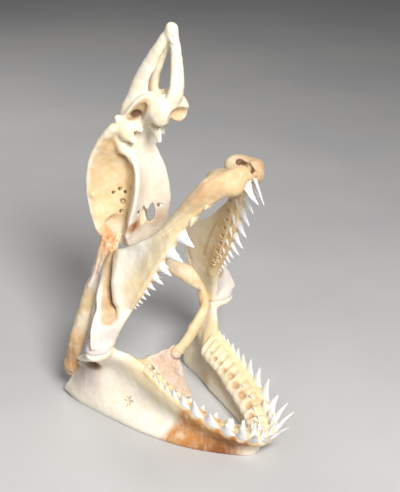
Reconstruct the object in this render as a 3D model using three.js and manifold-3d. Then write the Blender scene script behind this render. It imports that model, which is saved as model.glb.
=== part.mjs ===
// Mako shark skull: a dry cartilage specimen that stands on its lower jaw, mouth wide open and snout raised.
// Millimetres, +Z up. The animal faces -Y, its left side is +X, and the floor is Z = 0.
// Each paired piece is built on the left side and mirrored for the right.
import * as THREE from "three";
import { mergeVertices } from "three/addons/utils/BufferGeometryUtils.js";
import Module from "manifold-3d";

const wasm = await Module();
wasm.setup();

const vec = (x, y, z) => new THREE.Vector3(x, y, z);
const { lerp, degToRad, smoothstep } = THREE.MathUtils;

// Gap that touching pieces keep, half of it on each side of the midline
const GAP = 0.3;
const MIDLINE = GAP / 2;

// Jaw joint: upper and lower jaw meet face to face at this height
const JOINT = vec(95, 50, 100);
const JOINT_RADII = vec(17, 12, 9);
const JOINT_RISE = 3;

// Lower dental arch: a superellipse in plan that drops towards the chin
const LOWER_ARCH = { halfWidth: 57, rearY: 17, frontY: -122, rearZ: 79, frontZ: 31, power: 1.8, drop: 1.25 };
// Upper dental arch: a superellipse in a steep plane, from behind the cheek up to the front of the palate
const UPPER_ARCH = { halfWidth: 64, rearY: 28, frontY: -76, rearZ: 150, frontZ: 317, power: 1.6, bow: 14 };
// Lower border of the lower jaw: it stands on the floor and rises a little to the rear corner, which lies
// further back and further out on the right, as the cartilage dried unevenly
const CHIN_ARCH = { frontY: -97, power: 1.6, sunk: 4, rearRise: 7, riseLength: 30 };
const CHIN_LEFT = { halfWidth: 66, rearY: 78 };
const CHIN_RIGHT = { halfWidth: 80, rearY: 130 };

// Crowns from the midline outwards: [height, width at the root]
const UPPER_CROWNS = [
  [26, 13], [28, 14], [17, 12], [19, 20], [20, 24], [20, 24], [19, 22], [17, 18],
  [14, 14], [10, 11], [8, 9], [6.5, 8], [5.5, 7], [4.5, 6], [3.5, 5],
];
const LOWER_CROWNS = [
  [27, 12], [30, 13], [25, 14], [19, 20], [19, 21], [18, 19], [15, 16],
  [11, 13], [9, 11], [7.5, 10], [6, 9], [5, 8], [4, 7],
];
const CROWN_THICKNESS = 0.34;
const CROWN_SIDES = 6;
const ROOT_DEPTH = 4;

// Slopes of the crowns in degrees, from the midline to the rear: upper ones hang and hook backwards,
// lower ones splay out at the front and stand up at the cheek
const UPPER_SLOPE = {
  front: 68, rear: 32, bend: 0.6, flare: 0.12, hook: 0.15, folded: vec(-0.2, 0.9, -0.38).normalize(),
};
// What differs between the sides of the upper jaw: the round lobe at the front, which sags on the right,
// and the numbers of the teeth that lie folded inwards, counted from the midline
const UPPER_LEFT = { lobe: vec(16, -48, 316), lying: [] };
const UPPER_RIGHT = { lobe: vec(15, -53, 311), lying: [1, 2, 3, 4] };
const LOWER_SLOPE = { front: 52, rear: 14, uprightFrom: 0.5, curl: -0.2 };
// Younger teeth in rows behind the standing one, over the front share of the lower row
const YOUNG_ROWS = { rows: 2, share: 0.35, spacing: 6.5, sunk: 1, drop: 4, turn: 28, shrink: 0.14 };

// Sampling of the plates: stations along a plate and points across each face
const STATIONS = 30;
const ACROSS = 8;

// Blocks larger than the skull's half and than a joint, for flat cuts
const HALF_SPACE = vec(100, 600, 1000);
const JOINT_BLOCK = vec(80, 80, 60);

// Solids from geometry, and geometry from solids

function solidOf(geometry) {
  const bare = geometry.clone();
  bare.deleteAttribute("normal");
  bare.deleteAttribute("uv");
  const merged = mergeVertices(bare, 1e-4);
  const mesh = new wasm.Mesh({
    numProp: 3,
    vertProperties: merged.attributes.position.array,
    triVerts: new Uint32Array(merged.index.array),
  });
  return new wasm.Manifold(mesh);
}

function geometryOf(solid) {
  const mesh = solid.getMesh();
  const geometry = new THREE.BufferGeometry();
  geometry.setAttribute("position", new THREE.BufferAttribute(mesh.vertProperties, 3));
  geometry.setIndex(new THREE.BufferAttribute(mesh.triVerts, 1));
  const faceted = geometry.toNonIndexed();
  faceted.computeVertexNormals();
  return faceted;
}

const join = (pieces) => pieces.reduce((whole, piece) => whole.add(piece));
const mirrored = (solid) => solid.mirror([1, 0, 0]);

// The largest closed surface of a solid, without loose scraps or sealed hollows
function largest(solid) {
  const bodies = solid.decompose();
  return bodies.reduce((best, body) => (body.volume() > best.volume() ? body : best));
}

// The left half of a solid, with a flat face just beside the midline
function leftHalf(solid) {
  const rightSide = new THREE.BoxGeometry(HALF_SPACE.x, HALF_SPACE.y, HALF_SPACE.z);
  return solid.subtract(solidOf(rightSide.translate(MIDLINE - HALF_SPACE.x / 2, 0, 0)));
}

// A solid cut back from its neighbour, so that the gap stays open in every direction
function clearOf(solid, neighbour) {
  let cut = solid;
  for (const axis of [0, 1, 2]) {
    for (const shift of [-GAP, GAP]) {
      const offset = [0, 0, 0];
      offset[axis] = shift;
      cut = cut.subtract(neighbour.translate(offset));
    }
  }
  return largest(cut);
}

// A skin over rings of points, closed at both ends
function loft(rings) {
  const count = rings[0].length;
  const points = rings.flat();
  const faces = [];
  for (let i = 0; i + 1 < rings.length; i++) {
    for (let k = 0; k < count; k++) {
      const a = i * count + k;
      const b = i * count + ((k + 1) % count);
      faces.push(a, b, b + count, a, b + count, a + count);
    }
  }
  for (const [start, flip] of [[0, true], [(rings.length - 1) * count, false]]) {
    const ring = points.slice(start, start + count);
    const centre = ring.reduce((sum, p) => sum.add(p), vec(0, 0, 0)).divideScalar(count);
    points.push(centre);
    for (let k = 0; k < count; k++) {
      const pair = [start + k, start + ((k + 1) % count)];
      faces.push(...(flip ? pair.reverse() : pair), points.length - 1);
    }
  }
  const geometry = new THREE.BufferGeometry().setFromPoints(points);
  geometry.setIndex(faces);
  const solid = solidOf(geometry);
  return solid.volume() < 0 ? solidOf(turned(geometry)) : solid;
}

// A geometry with its faces turned round
function turned(geometry) {
  geometry.setIndex([...geometry.index.array].reverse());
  return geometry;
}

function ellipsoid(centre, radii, segments = 20) {
  const geometry = new THREE.SphereGeometry(1, segments, Math.round(segments * 0.6));
  geometry.scale(radii.x, radii.y, radii.z);
  geometry.translate(centre.x, centre.y, centre.z);
  return solidOf(geometry);
}

// A bar of oval section along a curve: sizes gives [half-width, half-depth] at a share of its length,
// and side is the direction in which the width lies
function bar(path, side, sizes, { steps = 14, sides = 12 } = {}) {
  const curve = new THREE.CatmullRomCurve3(path);
  const rings = [];
  for (let i = 0; i <= steps; i++) {
    const t = i / steps;
    const tangent = curve.getTangent(t);
    const depth = tangent.clone().cross(side).normalize();
    const width = depth.clone().cross(tangent).normalize();
    const [a, b] = sizes(t);
    const ring = [];
    for (let k = 0; k < sides; k++) {
      const angle = (2 * Math.PI * k) / sides;
      const p = curve.getPoint(t).addScaledVector(width, a * Math.cos(angle));
      ring.push(p.addScaledVector(depth, b * Math.sin(angle)));
    }
    rings.push(ring);
  }
  return loft(rings);
}

// Half-sizes that go evenly from one end of a bar to the other
const taper = (start, end) => (t) => [lerp(start[0], end[0], t), lerp(start[1], end[1], t)];

// A plate between two edges. thickness(t, s) is its half-thickness, dish(t, s) its bend outwards and
// swell(t, s) what its outer face adds, at shares t along it and s from the low edge to the high one.
function plate(lowEdge, highEdge, thickness, { dish = () => 0, swell = () => 0 }) {
  const rings = [];
  for (let i = 0; i <= STATIONS; i++) {
    const t = i / STATIONS;
    const low = lowEdge.getPoint(t);
    const high = highEdge.getPoint(t);
    const across = high.clone().sub(low).normalize();
    const along = lowEdge.getTangent(t).add(highEdge.getTangent(t)).normalize();
    const outward = across.clone().cross(along).normalize();
    const face = (k, sign) => {
      const s = (1 - Math.cos((Math.PI * k) / ACROSS)) / 2;
      const rounding = Math.sqrt(1 - Math.pow(Math.abs(2 * s - 1), 5));
      const offset = dish(t, s) + sign * thickness(t, s) * rounding + (sign > 0 ? swell(t, s) : 0);
      const p = low.clone().lerp(high, s).addScaledVector(outward, offset);
      return vec(Math.max(p.x, MIDLINE), p.y, Math.max(p.z, 0));
    };
    const ring = [];
    for (let k = 0; k <= ACROSS; k++) ring.push(face(k, 1));
    for (let k = ACROSS - 1; k > 0; k--) ring.push(face(k, -1));
    rings.push(ring);
  }
  return loft(rings);
}

// A smooth hump of height 1 round a middle, falling to 0 at a reach on each side
function hump(x, middle, reach) {
  const d = Math.min(Math.abs(x - middle) / reach, 1);
  return (1 + Math.cos(Math.PI * d)) / 2;
}

// Points on the dental arches and the chin, from the rear end (t = 0) to the midline (t = 1)

function archShare(t, power) {
  const angle = (t * Math.PI) / 2;
  const exponent = 2 / power;
  return { forward: Math.pow(Math.sin(angle), exponent), aside: Math.pow(Math.cos(angle), exponent) };
}

function lowerRow(t) {
  const { halfWidth, rearY, frontY, rearZ, frontZ, power, drop } = LOWER_ARCH;
  const { forward, aside } = archShare(t, power);
  const z = lerp(frontZ, rearZ, Math.pow(1 - forward, drop));
  return vec(Math.max(halfWidth * aside, MIDLINE), lerp(rearY, frontY, forward), z);
}

function upperRow(t) {
  const { halfWidth, rearY, frontY, rearZ, frontZ, power, bow } = UPPER_ARCH;
  const { forward, aside } = archShare(t, power);
  const back = vec(0, frontZ - rearZ, rearY - frontY).normalize();
  const z = lerp(rearZ, frontZ, forward);
  const p = vec(Math.max(halfWidth * aside, MIDLINE), lerp(rearY, frontY, forward), z);
  return p.addScaledVector(back, bow * Math.sin(Math.PI * forward * forward));
}

function chinLine(t, { halfWidth, rearY }) {
  const { frontY, power, sunk, rearRise, riseLength } = CHIN_ARCH;
  const { forward, aside } = archShare(t, power);
  const y = lerp(rearY, frontY, forward);
  const rise = rearRise * Math.pow(Math.max(1 - (rearY - y) / riseLength, 0), 1.5);
  return vec(Math.max(halfWidth * aside, MIDLINE), y, rise - sunk);
}

// Samples of a row, for the front part of a plate's edge
const samples = (row, count) => Array.from({ length: count }, (_, i) => row(i / (count - 1)));
const smooth = (points) => new THREE.CatmullRomCurve3(points, false, "catmullrom", 0.5);

// Teeth

// A crown: a flat blade of lens section on a flared root, which bends by hook along the row
// and by curl outwards
function crown({ root, axis, along, height, width, hook = 0, curl = 0 }) {
  const side = along.clone().addScaledVector(axis, -along.dot(axis)).normalize();
  const face = axis.clone().cross(side).normalize();
  const section = (rise, share) => {
    const lift = Math.max(rise, 0) / height;
    const middle = root.clone().addScaledVector(axis, rise);
    middle.addScaledVector(side, hook * height * lift * lift);
    middle.addScaledVector(face, curl * height * lift * (1 - lift));
    const halfThickness = 0.5 * CROWN_THICKNESS * Math.min(width, height) * Math.min(share, 0.6) / 0.6;
    return Array.from({ length: CROWN_SIDES }, (_, k) => {
      const angle = (2 * Math.PI * k) / CROWN_SIDES;
      const p = middle.clone().addScaledVector(side, 0.5 * width * share * Math.cos(angle));
      return p.addScaledVector(face, halfThickness * Math.sin(angle));
    });
  };
  const profile = [[-ROOT_DEPTH / height, 0.85], [0.05, 0.85], [0.4, 0.42], [1, 0.04]];
  return loft(profile.map(([lift, share]) => section(lift * height, share)));
}

// Places along a row, from the midline outwards, spaced by the widths of the crowns
function rowPlaces(row, crowns) {
  const curve = new THREE.CatmullRomCurve3(samples(row, 25).reverse());
  const total = crowns.reduce((sum, [, width]) => sum + width, 0);
  let reached = 0;
  return crowns.map(([height, width]) => {
    const share = (reached + width / 2) / total;
    reached += width;
    return { height, width, share, root: curve.getPointAt(share), along: curve.getTangentAt(share) };
  });
}

// Teeth of an upper row; those whose numbers are in lying are folded inwards on the gum, as young teeth are
function upperTeeth(lying) {
  const { front, rear, bend, flare, hook, folded } = UPPER_SLOPE;
  return rowPlaces(upperRow, UPPER_CROWNS).map(({ height, width, share, root, along }, number) => {
    const droop = degToRad(lerp(front, rear, Math.pow(share, bend)));
    const hanging = vec(flare, -Math.cos(droop), -Math.sin(droop)).normalize();
    const axis = lying.includes(number) ? folded : hanging;
    return crown({ root, axis, along, height, width, hook });
  });
}

// The standing row and the younger rows that follow it on the inner side of the jaw
function lowerTeeth() {
  const { front, rear, uprightFrom, curl } = LOWER_SLOPE;
  const { rows, share: youngShare, spacing, sunk, drop, turn, shrink } = YOUNG_ROWS;
  const teeth = [];
  for (const { height, width, share, root, along } of rowPlaces(lowerRow, LOWER_CROWNS)) {
    const inward = vec(0, 0, 1).cross(along).setZ(0).normalize();
    if (inward.dot(vec(-root.x, LOWER_ARCH.rearY - root.y, 0)) < 0) inward.negate();
    const splay = lerp(front, rear, Math.min(share / uprightFrom, 1));
    const lastRow = share < youngShare ? rows : 0;
    for (let row = 0; row <= lastRow; row++) {
      const lean = degToRad(splay - turn * row);
      const axis = vec(0, 0, Math.cos(lean)).addScaledVector(inward, -Math.sin(lean));
      const seat = root.clone().addScaledVector(inward, spacing * row - sunk);
      seat.z -= sunk + drop * row;
      const size = 1 - shrink * row;
      teeth.push(crown({ root: seat, axis, along, height: height * size, width: width * size, curl }));
    }
  }
  return teeth;
}

// The space on one side of the jaw joint's flat, which the piece on the other side leaves free
function jointBlock(side) {
  const block = new THREE.BoxGeometry(JOINT_BLOCK.x, JOINT_BLOCK.y, JOINT_BLOCK.z);
  return solidOf(block.translate(JOINT.x, JOINT.y, JOINT.z + side * (JOINT_BLOCK.z / 2 - MIDLINE)));
}

// Lower jaw

const LOWER_JAW = {
  rimX: 97, rimInset: 42, rimBehindJoint: 12, rimZ: 74,
  jointRear: vec(98, 60, 92),
  jointFront: vec(76, 41, 95),
  foot: 15, web: 4.5, ridge: 7.5, dish: 9,
};

function lowerJaw(chin) {
  const { rimX, rimInset, rimBehindJoint, rimZ, jointRear, jointFront, foot, web, ridge, dish } = LOWER_JAW;
  const rowSamples = samples(lowerRow, 8);
  const rearRim = vec(rimX, Math.max(chin.rearY - rimInset, jointRear.y + rimBehindJoint), rimZ);
  const high = smooth([rearRim, jointRear, jointFront, ...rowSamples]);
  const low = smooth(samples((t) => chinLine(t, chin), 3 + rowSamples.length));
  const footing = (t) => foot * (1 + hump(t, 0.42, 0.42)) / 2 - web;
  const thickness = (t, s) => web + footing(t) * hump(s, 0, 0.45) + (ridge - web) * hump(s, 0.95, 0.5);
  const hollow = (t, s) => -dish * hump(s, 0.5, 0.5) * (1 - 0.8 * t);
  const seat = ellipsoid(vec(JOINT.x, JOINT.y, JOINT.z - JOINT_RISE), JOINT_RADII, 14);
  const cartilage = plate(low, high, thickness, { dish: hollow }).add(seat).subtract(jointBlock(1));
  return largest(leftHalf(join([cartilage, ...lowerTeeth()])));
}

// Upper jaw

// The rear crest runs up from behind the joint, then forward as the upper edge to the midline. A wing stands
// out beside the joint, and a ridge climbs from its top to the crest. Shares are along and across the plate.
const UPPER_JAW = {
  jointFront: vec(80, 44, 102), cheekFront: vec(74, 36, 128),
  back: [
    vec(89, 69.5, 102), vec(81, 74, 120), vec(73.5, 76, 138), vec(67, 77, 157), vec(60, 76, 180),
    vec(54, 72, 200), vec(53, 54, 210), vec(53, 33, 224), vec(52, 5, 248), vec(50, -18, 275),
    vec(46, -39, 302), vec(38, -48, 319), vec(18, -57, 326), vec(MIDLINE, -62, 325),
  ],
  edge: 6, web: 4.5, front: 2.5,
  wing: 27, wingAcross: 0.42, wingReach: 0.36, wingFade: [0.1, 0.18],
  ridge: 9, ridgeAlong: 0.22, ridgeReach: 0.2, ridgeStart: -0.08, ridgeClimb: 2.35,
  ridgeRise: 0.6, ridgeDrop: 0.2,
  lobeRadii: vec(15, 23, 13),
};

// What the upper jaw's outer face adds: the wing and the ridge
function upperSwell(t, s) {
  const { wing, wingAcross, wingReach, wingFade } = UPPER_JAW;
  const { ridge, ridgeAlong, ridgeReach, ridgeStart, ridgeClimb, ridgeRise, ridgeDrop } = UPPER_JAW;
  const line = ridgeStart + ridgeClimb * t;
  const before = smoothstep(s, line - ridgeRise, line);
  const behind = 1 - smoothstep(s, line, line + ridgeDrop);
  const beside = wing * (1 - smoothstep(t, ...wingFade)) * hump(s, wingAcross, wingReach);
  return beside + ridge * hump(t, ridgeAlong, ridgeReach) * Math.min(before, behind);
}

function upperJaw({ lobe, lying }) {
  const { jointFront, cheekFront, back, edge, web, front, lobeRadii } = UPPER_JAW;
  const low = smooth([jointFront, cheekFront, ...samples(upperRow, back.length - 2)]);
  const high = smooth(back);
  const thickness = (t, s) => web + front * t + (edge - web) * (hump(s, 0, 0.4) + hump(s, 1, 0.4));
  const condyle = ellipsoid(vec(JOINT.x, JOINT.y, JOINT.z + JOINT_RISE), JOINT_RADII, 14);
  const bulb = ellipsoid(lobe, lobeRadii, 14);
  const flank = plate(low, high, thickness, { swell: upperSwell });
  const cartilage = join([flank, condyle, bulb]).subtract(jointBlock(-1));
  return largest(leftHalf(join([cartilage, ...upperTeeth(lying)])));
}

// Braincase with the nasal capsules and the three bars of the snout, in one piece

// Half-sections of the braincase at a height z: ridge of the roof, crest over the eye, wall of the orbit,
// shelf under the eye and keel of the floor. Pairs are [aside, back].
const BRAINCASE = [
  { z: 184, roof: 106, crest: [16, 104], wall: [14, 97], shelf: [13, 90], keel: 90 },
  { z: 192, roof: 117, crest: [33, 108], wall: [24, 97], shelf: [22, 84], keel: 85 },
  { z: 206, roof: 125, crest: [45, 111], wall: [26, 97], shelf: [28, 80], keel: 83 },
  { z: 225, roof: 133, crest: [47, 121], wall: [19, 99], shelf: [28, 75], keel: 80 },
  { z: 250, roof: 139, crest: [47, 129], wall: [15, 102], shelf: [25, 71], keel: 78 },
  { z: 280, roof: 137, crest: [47, 127], wall: [13, 103], shelf: [20, 74], keel: 79 },
  { z: 298, roof: 131, crest: [46, 121], wall: [14, 101], shelf: [17, 84], keel: 84 },
  { z: 317, roof: 120, crest: [43, 111], wall: [17, 98], shelf: [13, 87], keel: 85 },
  { z: 332, roof: 108, crest: [39, 99], wall: [22, 90], shelf: [13, 80], keel: 78 },
  { z: 344, roof: 98, crest: [32, 89], wall: [26, 80], shelf: [16, 69], keel: 67 },
  { z: 356, roof: 88, crest: [30, 79], wall: [26, 68], shelf: [17, 55], keel: 51 },
  { z: 367, roof: 79, crest: [28, 71], wall: [22, 58], shelf: [15, 46], keel: 42 },
  { z: 375, roof: 70, crest: [17, 65], wall: [14, 57], shelf: [10, 50], keel: 47 },
];
const CREST_DEPTH = 9;
const CREST_HALF_WIDTH = 47;
const SHELF_DEPTH = 6;
const SNOUT_TIP = vec(0, 46, 446);
const SNOUT_KNOB = { centre: vec(0, 46, 440.5), radii: vec(5, 5, 9.5) };
// Bars of the snout, with their half-sizes at the root and at the tip and the side their width lies to
const LATERAL_BAR = {
  path: [vec(14, 86, 350), vec(10, 83, 366), vec(8, 80, 384), vec(6.5, 71, 404), vec(4.5, 59, 424), SNOUT_TIP],
  side: vec(0.3, 1, 0.2), root: [12.5, 6], tip: [4, 3.5],
};
const MEDIAL_BAR = {
  path: [vec(0, 48, 360), vec(0, 37, 378), vec(0, 35, 398), vec(0, 38, 424), SNOUT_TIP],
  side: vec(1, 0, 0), root: [11.5, 6], tip: [4, 4],
};

// Nasal capsule, its opening, the canal behind it and the window through the base of the crest
const CAPSULE = { centre: vec(14, 56, 360), radii: vec(12, 18, 13) };
const NOSTRIL = { centre: vec(16, 38, 350), radii: vec(8, 13, 9) };
const CANAL = { centre: vec(29, 68, 357), radii: vec(12, 9, 9) };
const WINDOW = { path: [vec(2, 78, 230), vec(48, 124, 199)], half: [10, 4.5] };

// A closed curve through a half-section and its mirror image
function braincaseRing({ z, roof, crest, wall, shelf, keel }, sides = 32) {
  const half = [
    [crest[0] * 0.55, lerp(roof, crest[1], 0.25)],
    crest,
    [crest[0] - 2, crest[1] - CREST_DEPTH * (crest[0] / CREST_HALF_WIDTH)],
    wall,
    [shelf[0] - 1, shelf[1] + SHELF_DEPTH],
    shelf,
  ];
  const left = half.map(([x, y]) => vec(x, y, z));
  const right = half.map(([x, y]) => vec(-x, y, z)).reverse();
  const curve = new THREE.CatmullRomCurve3([vec(0, roof, z), ...left, vec(0, keel, z), ...right], true);
  return curve.getSpacedPoints(sides).slice(0, sides);
}

function snoutBars() {
  const lateral = bar(LATERAL_BAR.path, LATERAL_BAR.side, taper(LATERAL_BAR.root, LATERAL_BAR.tip));
  const medial = bar(MEDIAL_BAR.path, MEDIAL_BAR.side, taper(MEDIAL_BAR.root, MEDIAL_BAR.tip));
  return [lateral, mirrored(lateral), medial, ellipsoid(SNOUT_KNOB.centre, SNOUT_KNOB.radii, 12)];
}

function chondrocranium() {
  const capsule = ellipsoid(CAPSULE.centre, CAPSULE.radii, 16);
  const box = loft(BRAINCASE.map((section) => braincaseRing(section)));
  const whole = join([box, capsule, mirrored(capsule), ...snoutBars()]);
  const hollows = [
    ellipsoid(NOSTRIL.centre, NOSTRIL.radii, 12),
    ellipsoid(CANAL.centre, CANAL.radii, 12),
    bar(WINDOW.path, vec(0, 0, 1), () => WINDOW.half, { steps: 1 }),
  ];
  return largest(hollows.reduce((rest, hollow) => rest.subtract(hollow).subtract(mirrored(hollow)), whole));
}

// Hyoid arch: it hangs the jaws from the braincase and carries the tongue plate

const HYOMANDIBULA = {
  right: [
    vec(38, 98, 196), vec(50, 100, 165), vec(64, 102, 135),
    vec(78, 101, 106), vec(88, 100, 82), vec(85, 112, 54),
  ],
  left: [
    vec(38, 98, 194), vec(42, 97, 168), vec(49, 90, 146), vec(60, 77, 133), vec(72, 66, 122), vec(86, 64, 107),
  ],
  rightSide: vec(0, 1, 0), leftSide: vec(0, 0.3, 1),
  top: [12, 8], end: [9, 6],
};
const CERATOHYAL = {
  right: [vec(82, 64, 94), vec(66, 57, 76), vec(52, 54, 64), vec(36, 53, 54), vec(18, 52, 49)],
  left: [vec(80, 66, 104), vec(62, 44, 98), vec(50, 40, 88), vec(35, 40, 71), vec(18, 40, 57)],
  outer: [8, 6.5], inner: [7, 5.5],
};
const BASIHYAL = { rear: vec(0, 52, 58), front: vec(0, 6, 16), rearHalf: 22, frontHalf: 9, half: 3.5, sag: 3 };

const hyomandibula = (path, side) => bar(path, side, taper(HYOMANDIBULA.top, HYOMANDIBULA.end));
const ceratohyal = (path) => bar(path, vec(0, 0, 1), taper(CERATOHYAL.outer, CERATOHYAL.inner));

function basihyal() {
  const { rear, front, rearHalf, frontHalf, half, sag } = BASIHYAL;
  const middle = rear.clone().lerp(front, 0.5).add(vec(0, 0, -sag));
  return bar([rear, middle, front], vec(1, 0, 0), taper([rearHalf, half], [frontHalf, half]));
}

// Finishes

const CARTILAGE = { color: 0xe8dcc0, roughness: 0.55, metalness: 0 };
const LIGAMENT = { color: 0xd9a868, roughness: 0.65, metalness: 0 };
const TONGUE = { color: 0xb9987c, roughness: 0.7, metalness: 0 };

const skull = new THREE.Group();

function addPiece(name, solid, finish) {
  const mesh = new THREE.Mesh(geometryOf(solid), new THREE.MeshStandardMaterial(finish));
  mesh.name = name;
  skull.add(mesh);
}

const cranium = chondrocranium();
const lowerLeft = lowerJaw(CHIN_LEFT);
const lowerRight = mirrored(lowerJaw(CHIN_RIGHT));
const upperLeft = clearOf(upperJaw(UPPER_LEFT), cranium);
const upperRight = clearOf(mirrored(upperJaw(UPPER_RIGHT)), cranium);
const clearOfAll = (solid, neighbours) => neighbours.reduce(clearOf, solid);
const hangingBarLeft = hyomandibula(HYOMANDIBULA.left, HYOMANDIBULA.leftSide);
const hangingBarRight = mirrored(hyomandibula(HYOMANDIBULA.right, HYOMANDIBULA.rightSide));
const hangerLeft = clearOfAll(hangingBarLeft, [cranium, upperLeft, lowerLeft]);
const hangerRight = clearOfAll(hangingBarRight, [cranium, upperRight, lowerRight]);
const tongue = clearOfAll(basihyal(), [lowerLeft, lowerRight]);
const tongueBarLeft = clearOfAll(ceratohyal(CERATOHYAL.left), [hangerLeft, upperLeft, lowerLeft, tongue]);
const tongueBarRight = clearOfAll(
  mirrored(ceratohyal(CERATOHYAL.right)), [hangerRight, upperRight, lowerRight, tongue]);

addPiece("chondrocranium", cranium, CARTILAGE);
addPiece("palatoquadrate_left", upperLeft, CARTILAGE);
addPiece("palatoquadrate_right", upperRight, CARTILAGE);
addPiece("meckels_cartilage_left", lowerLeft, CARTILAGE);
addPiece("meckels_cartilage_right", lowerRight, CARTILAGE);
addPiece("hyomandibula_left", hangerLeft, LIGAMENT);
addPiece("hyomandibula_right", hangerRight, LIGAMENT);
addPiece("ceratohyal_left", tongueBarLeft, CARTILAGE);
addPiece("ceratohyal_right", tongueBarRight, CARTILAGE);
addPiece("basihyal", tongue, TONGUE);

// The origin is on the floor, under the middle of the whole skull
const bounds = new THREE.Box3().setFromObject(skull);
const middle = bounds.getCenter(vec(0, 0, 0));
skull.position.set(-middle.x, -middle.y, -bounds.min.z);

export default skull;
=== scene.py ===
import math

import bpy
import numpy as np
import openvdb
from mathutils import Matrix, Vector


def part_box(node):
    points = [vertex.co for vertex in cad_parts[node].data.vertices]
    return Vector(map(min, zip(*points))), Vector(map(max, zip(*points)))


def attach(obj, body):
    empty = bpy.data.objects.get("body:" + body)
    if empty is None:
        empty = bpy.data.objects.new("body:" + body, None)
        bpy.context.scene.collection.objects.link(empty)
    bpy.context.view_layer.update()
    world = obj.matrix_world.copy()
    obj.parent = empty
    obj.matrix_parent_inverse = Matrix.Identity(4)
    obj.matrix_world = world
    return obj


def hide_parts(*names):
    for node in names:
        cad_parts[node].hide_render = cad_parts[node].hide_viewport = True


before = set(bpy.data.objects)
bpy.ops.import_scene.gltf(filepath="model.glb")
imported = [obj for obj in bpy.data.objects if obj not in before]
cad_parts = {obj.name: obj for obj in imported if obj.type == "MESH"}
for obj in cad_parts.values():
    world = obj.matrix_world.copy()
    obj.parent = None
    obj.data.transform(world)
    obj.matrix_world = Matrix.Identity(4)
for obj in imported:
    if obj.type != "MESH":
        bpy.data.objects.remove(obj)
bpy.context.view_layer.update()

MM = 0.001
# The frame's origin is under the middle of the skull, so the roof of the braincase shows how far it was moved
ROOF_BACK = 139.0
PLACE = np.array([0.0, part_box("chondrocranium")[1][1] / MM - ROOF_BACK, 0.0])

# How far the clay's distances reach, and the size of its grains
REACH = 12.0
JAW_GRAIN = 1.0
BRAINCASE_GRAIN = 1.1
BAR_GRAIN = 0.9
# Boxes that hold the clay of the large pieces
LOWER_JAW_ROOM = (-2, -138, -2), (124, 140, 112)
UPPER_JAW_ROOM = (-2, -100, 88), (124, 90, 346)
BRAINCASE_ROOM = (-60, 20, 176), (60, 148, 456)
# Half of the gap between the jaw halves at the front
MIDLINE = 0.15
# Steps along a dental row or a bar, and random values in a table with the factors that pick from it
ROW_STEPS = 200
TABLE_SIZE = 4096
TABLE_FACTORS = (73856093, 19349663, 83492791)

# Dental arches and the lower border, as in the solids
LOWER_ARCH = dict(half_width=57, rear_y=17, front_y=-122, rear_z=79, front_z=31, power=1.8, drop=1.25)
UPPER_ARCH = dict(half_width=64, rear_y=28, front_y=-76, rear_z=150, front_z=317, power=1.6, bow=14)
CHIN_ARCH = dict(front_y=-97, power=1.6, sunk=4, rear_rise=7, rise_length=30)
CHIN_SIDES = dict(
    left=dict(half_width=66, rear_y=78, chin_stain=0.5, scarred=False),
    right=dict(half_width=80, rear_y=130, chin_stain=1.0, scarred=True))
JOINT = np.array([95.0, 50.0, 100.0])
JOINT_RADII = np.array([17.0, 12.0, 9.0])
JOINT_RISE = 3.0

# Crowns from the midline outwards: height and width at the root
UPPER_CROWNS = [
    (26, 13), (28, 14), (17, 12), (19, 20), (20, 24), (20, 24), (19, 22), (17, 18),
    (14, 14), (10, 11), (8, 9), (6.5, 8), (5.5, 7), (4.5, 6), (3.5, 5),
]
LOWER_CROWNS = [
    (27, 12), (30, 13), (25, 14), (19, 20), (19, 21), (18, 19), (15, 16),
    (11, 13), (9, 11), (7.5, 10), (6, 9), (5, 8), (4, 7),
]


# Curves and small maths

def unit(v):
    v = np.asarray(v, float)
    return v / np.maximum(np.linalg.norm(v, axis=-1, keepdims=True), 1e-9)


def mix(a, b, share):
    return a + (b - a) * share


def hump(x, middle, reach):
    """A smooth bump of height 1 round a middle, 0 from reach on."""
    d = np.minimum(np.abs(np.asarray(x, float) - middle) / reach, 1.0)
    return 0.5 + 0.5 * np.cos(np.pi * d)


def ease(x, low, high):
    """0 below low, 1 above high, smooth between."""
    f = np.clip((np.asarray(x, float) - low) / (high - low), 0.0, 1.0)
    return f * f * (3 - 2 * f)


def spline(points, count, closed=False):
    """Points along a Catmull-Rom curve through the given ones."""
    points = np.asarray(points, float)
    if closed:
        ring = np.vstack([points[-1:], points, points[:2]])
        t = np.linspace(0, len(points), count, endpoint=False)
        i = t.astype(int)
    else:
        ring = np.vstack([2 * points[0] - points[1], points, 2 * points[-1] - points[-2]])
        t = np.linspace(0, len(points) - 1, count)
        i = np.minimum(t.astype(int), len(points) - 2)
    f = (t - i)[:, None]
    a, b, c, d = (ring[i + k] for k in range(4))
    square, cube = 2 * a - 5 * b + 4 * c - d, 3 * b - 3 * c + d - a
    return 0.5 * (2 * b + (c - a) * f + square * f ** 2 + cube * f ** 3)


def even(points, shares):
    """Places and directions at shares of a polyline's length."""
    steps = np.linalg.norm(np.diff(points, axis=0), axis=1)
    length = np.concatenate([[0], np.cumsum(steps)])
    at = np.asarray(shares) * length[-1]
    place = np.stack([np.interp(at, length, points[:, k]) for k in range(3)], -1)
    slope = np.gradient(points, length, axis=0)
    along = unit(np.stack([np.interp(at, length, slope[:, k]) for k in range(3)], -1))
    return place, along


def arch_share(t, power):
    angle = np.asarray(t, float) * np.pi / 2
    return np.sin(angle) ** (2 / power), np.maximum(np.cos(angle), 0) ** (2 / power)


def lower_row(t):
    a = LOWER_ARCH
    forward, aside = arch_share(t, a["power"])
    z = mix(a["front_z"], a["rear_z"], (1 - forward) ** a["drop"])
    x = np.maximum(a["half_width"] * aside, MIDLINE)
    return np.stack([x, mix(a["rear_y"], a["front_y"], forward), z], -1)


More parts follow.
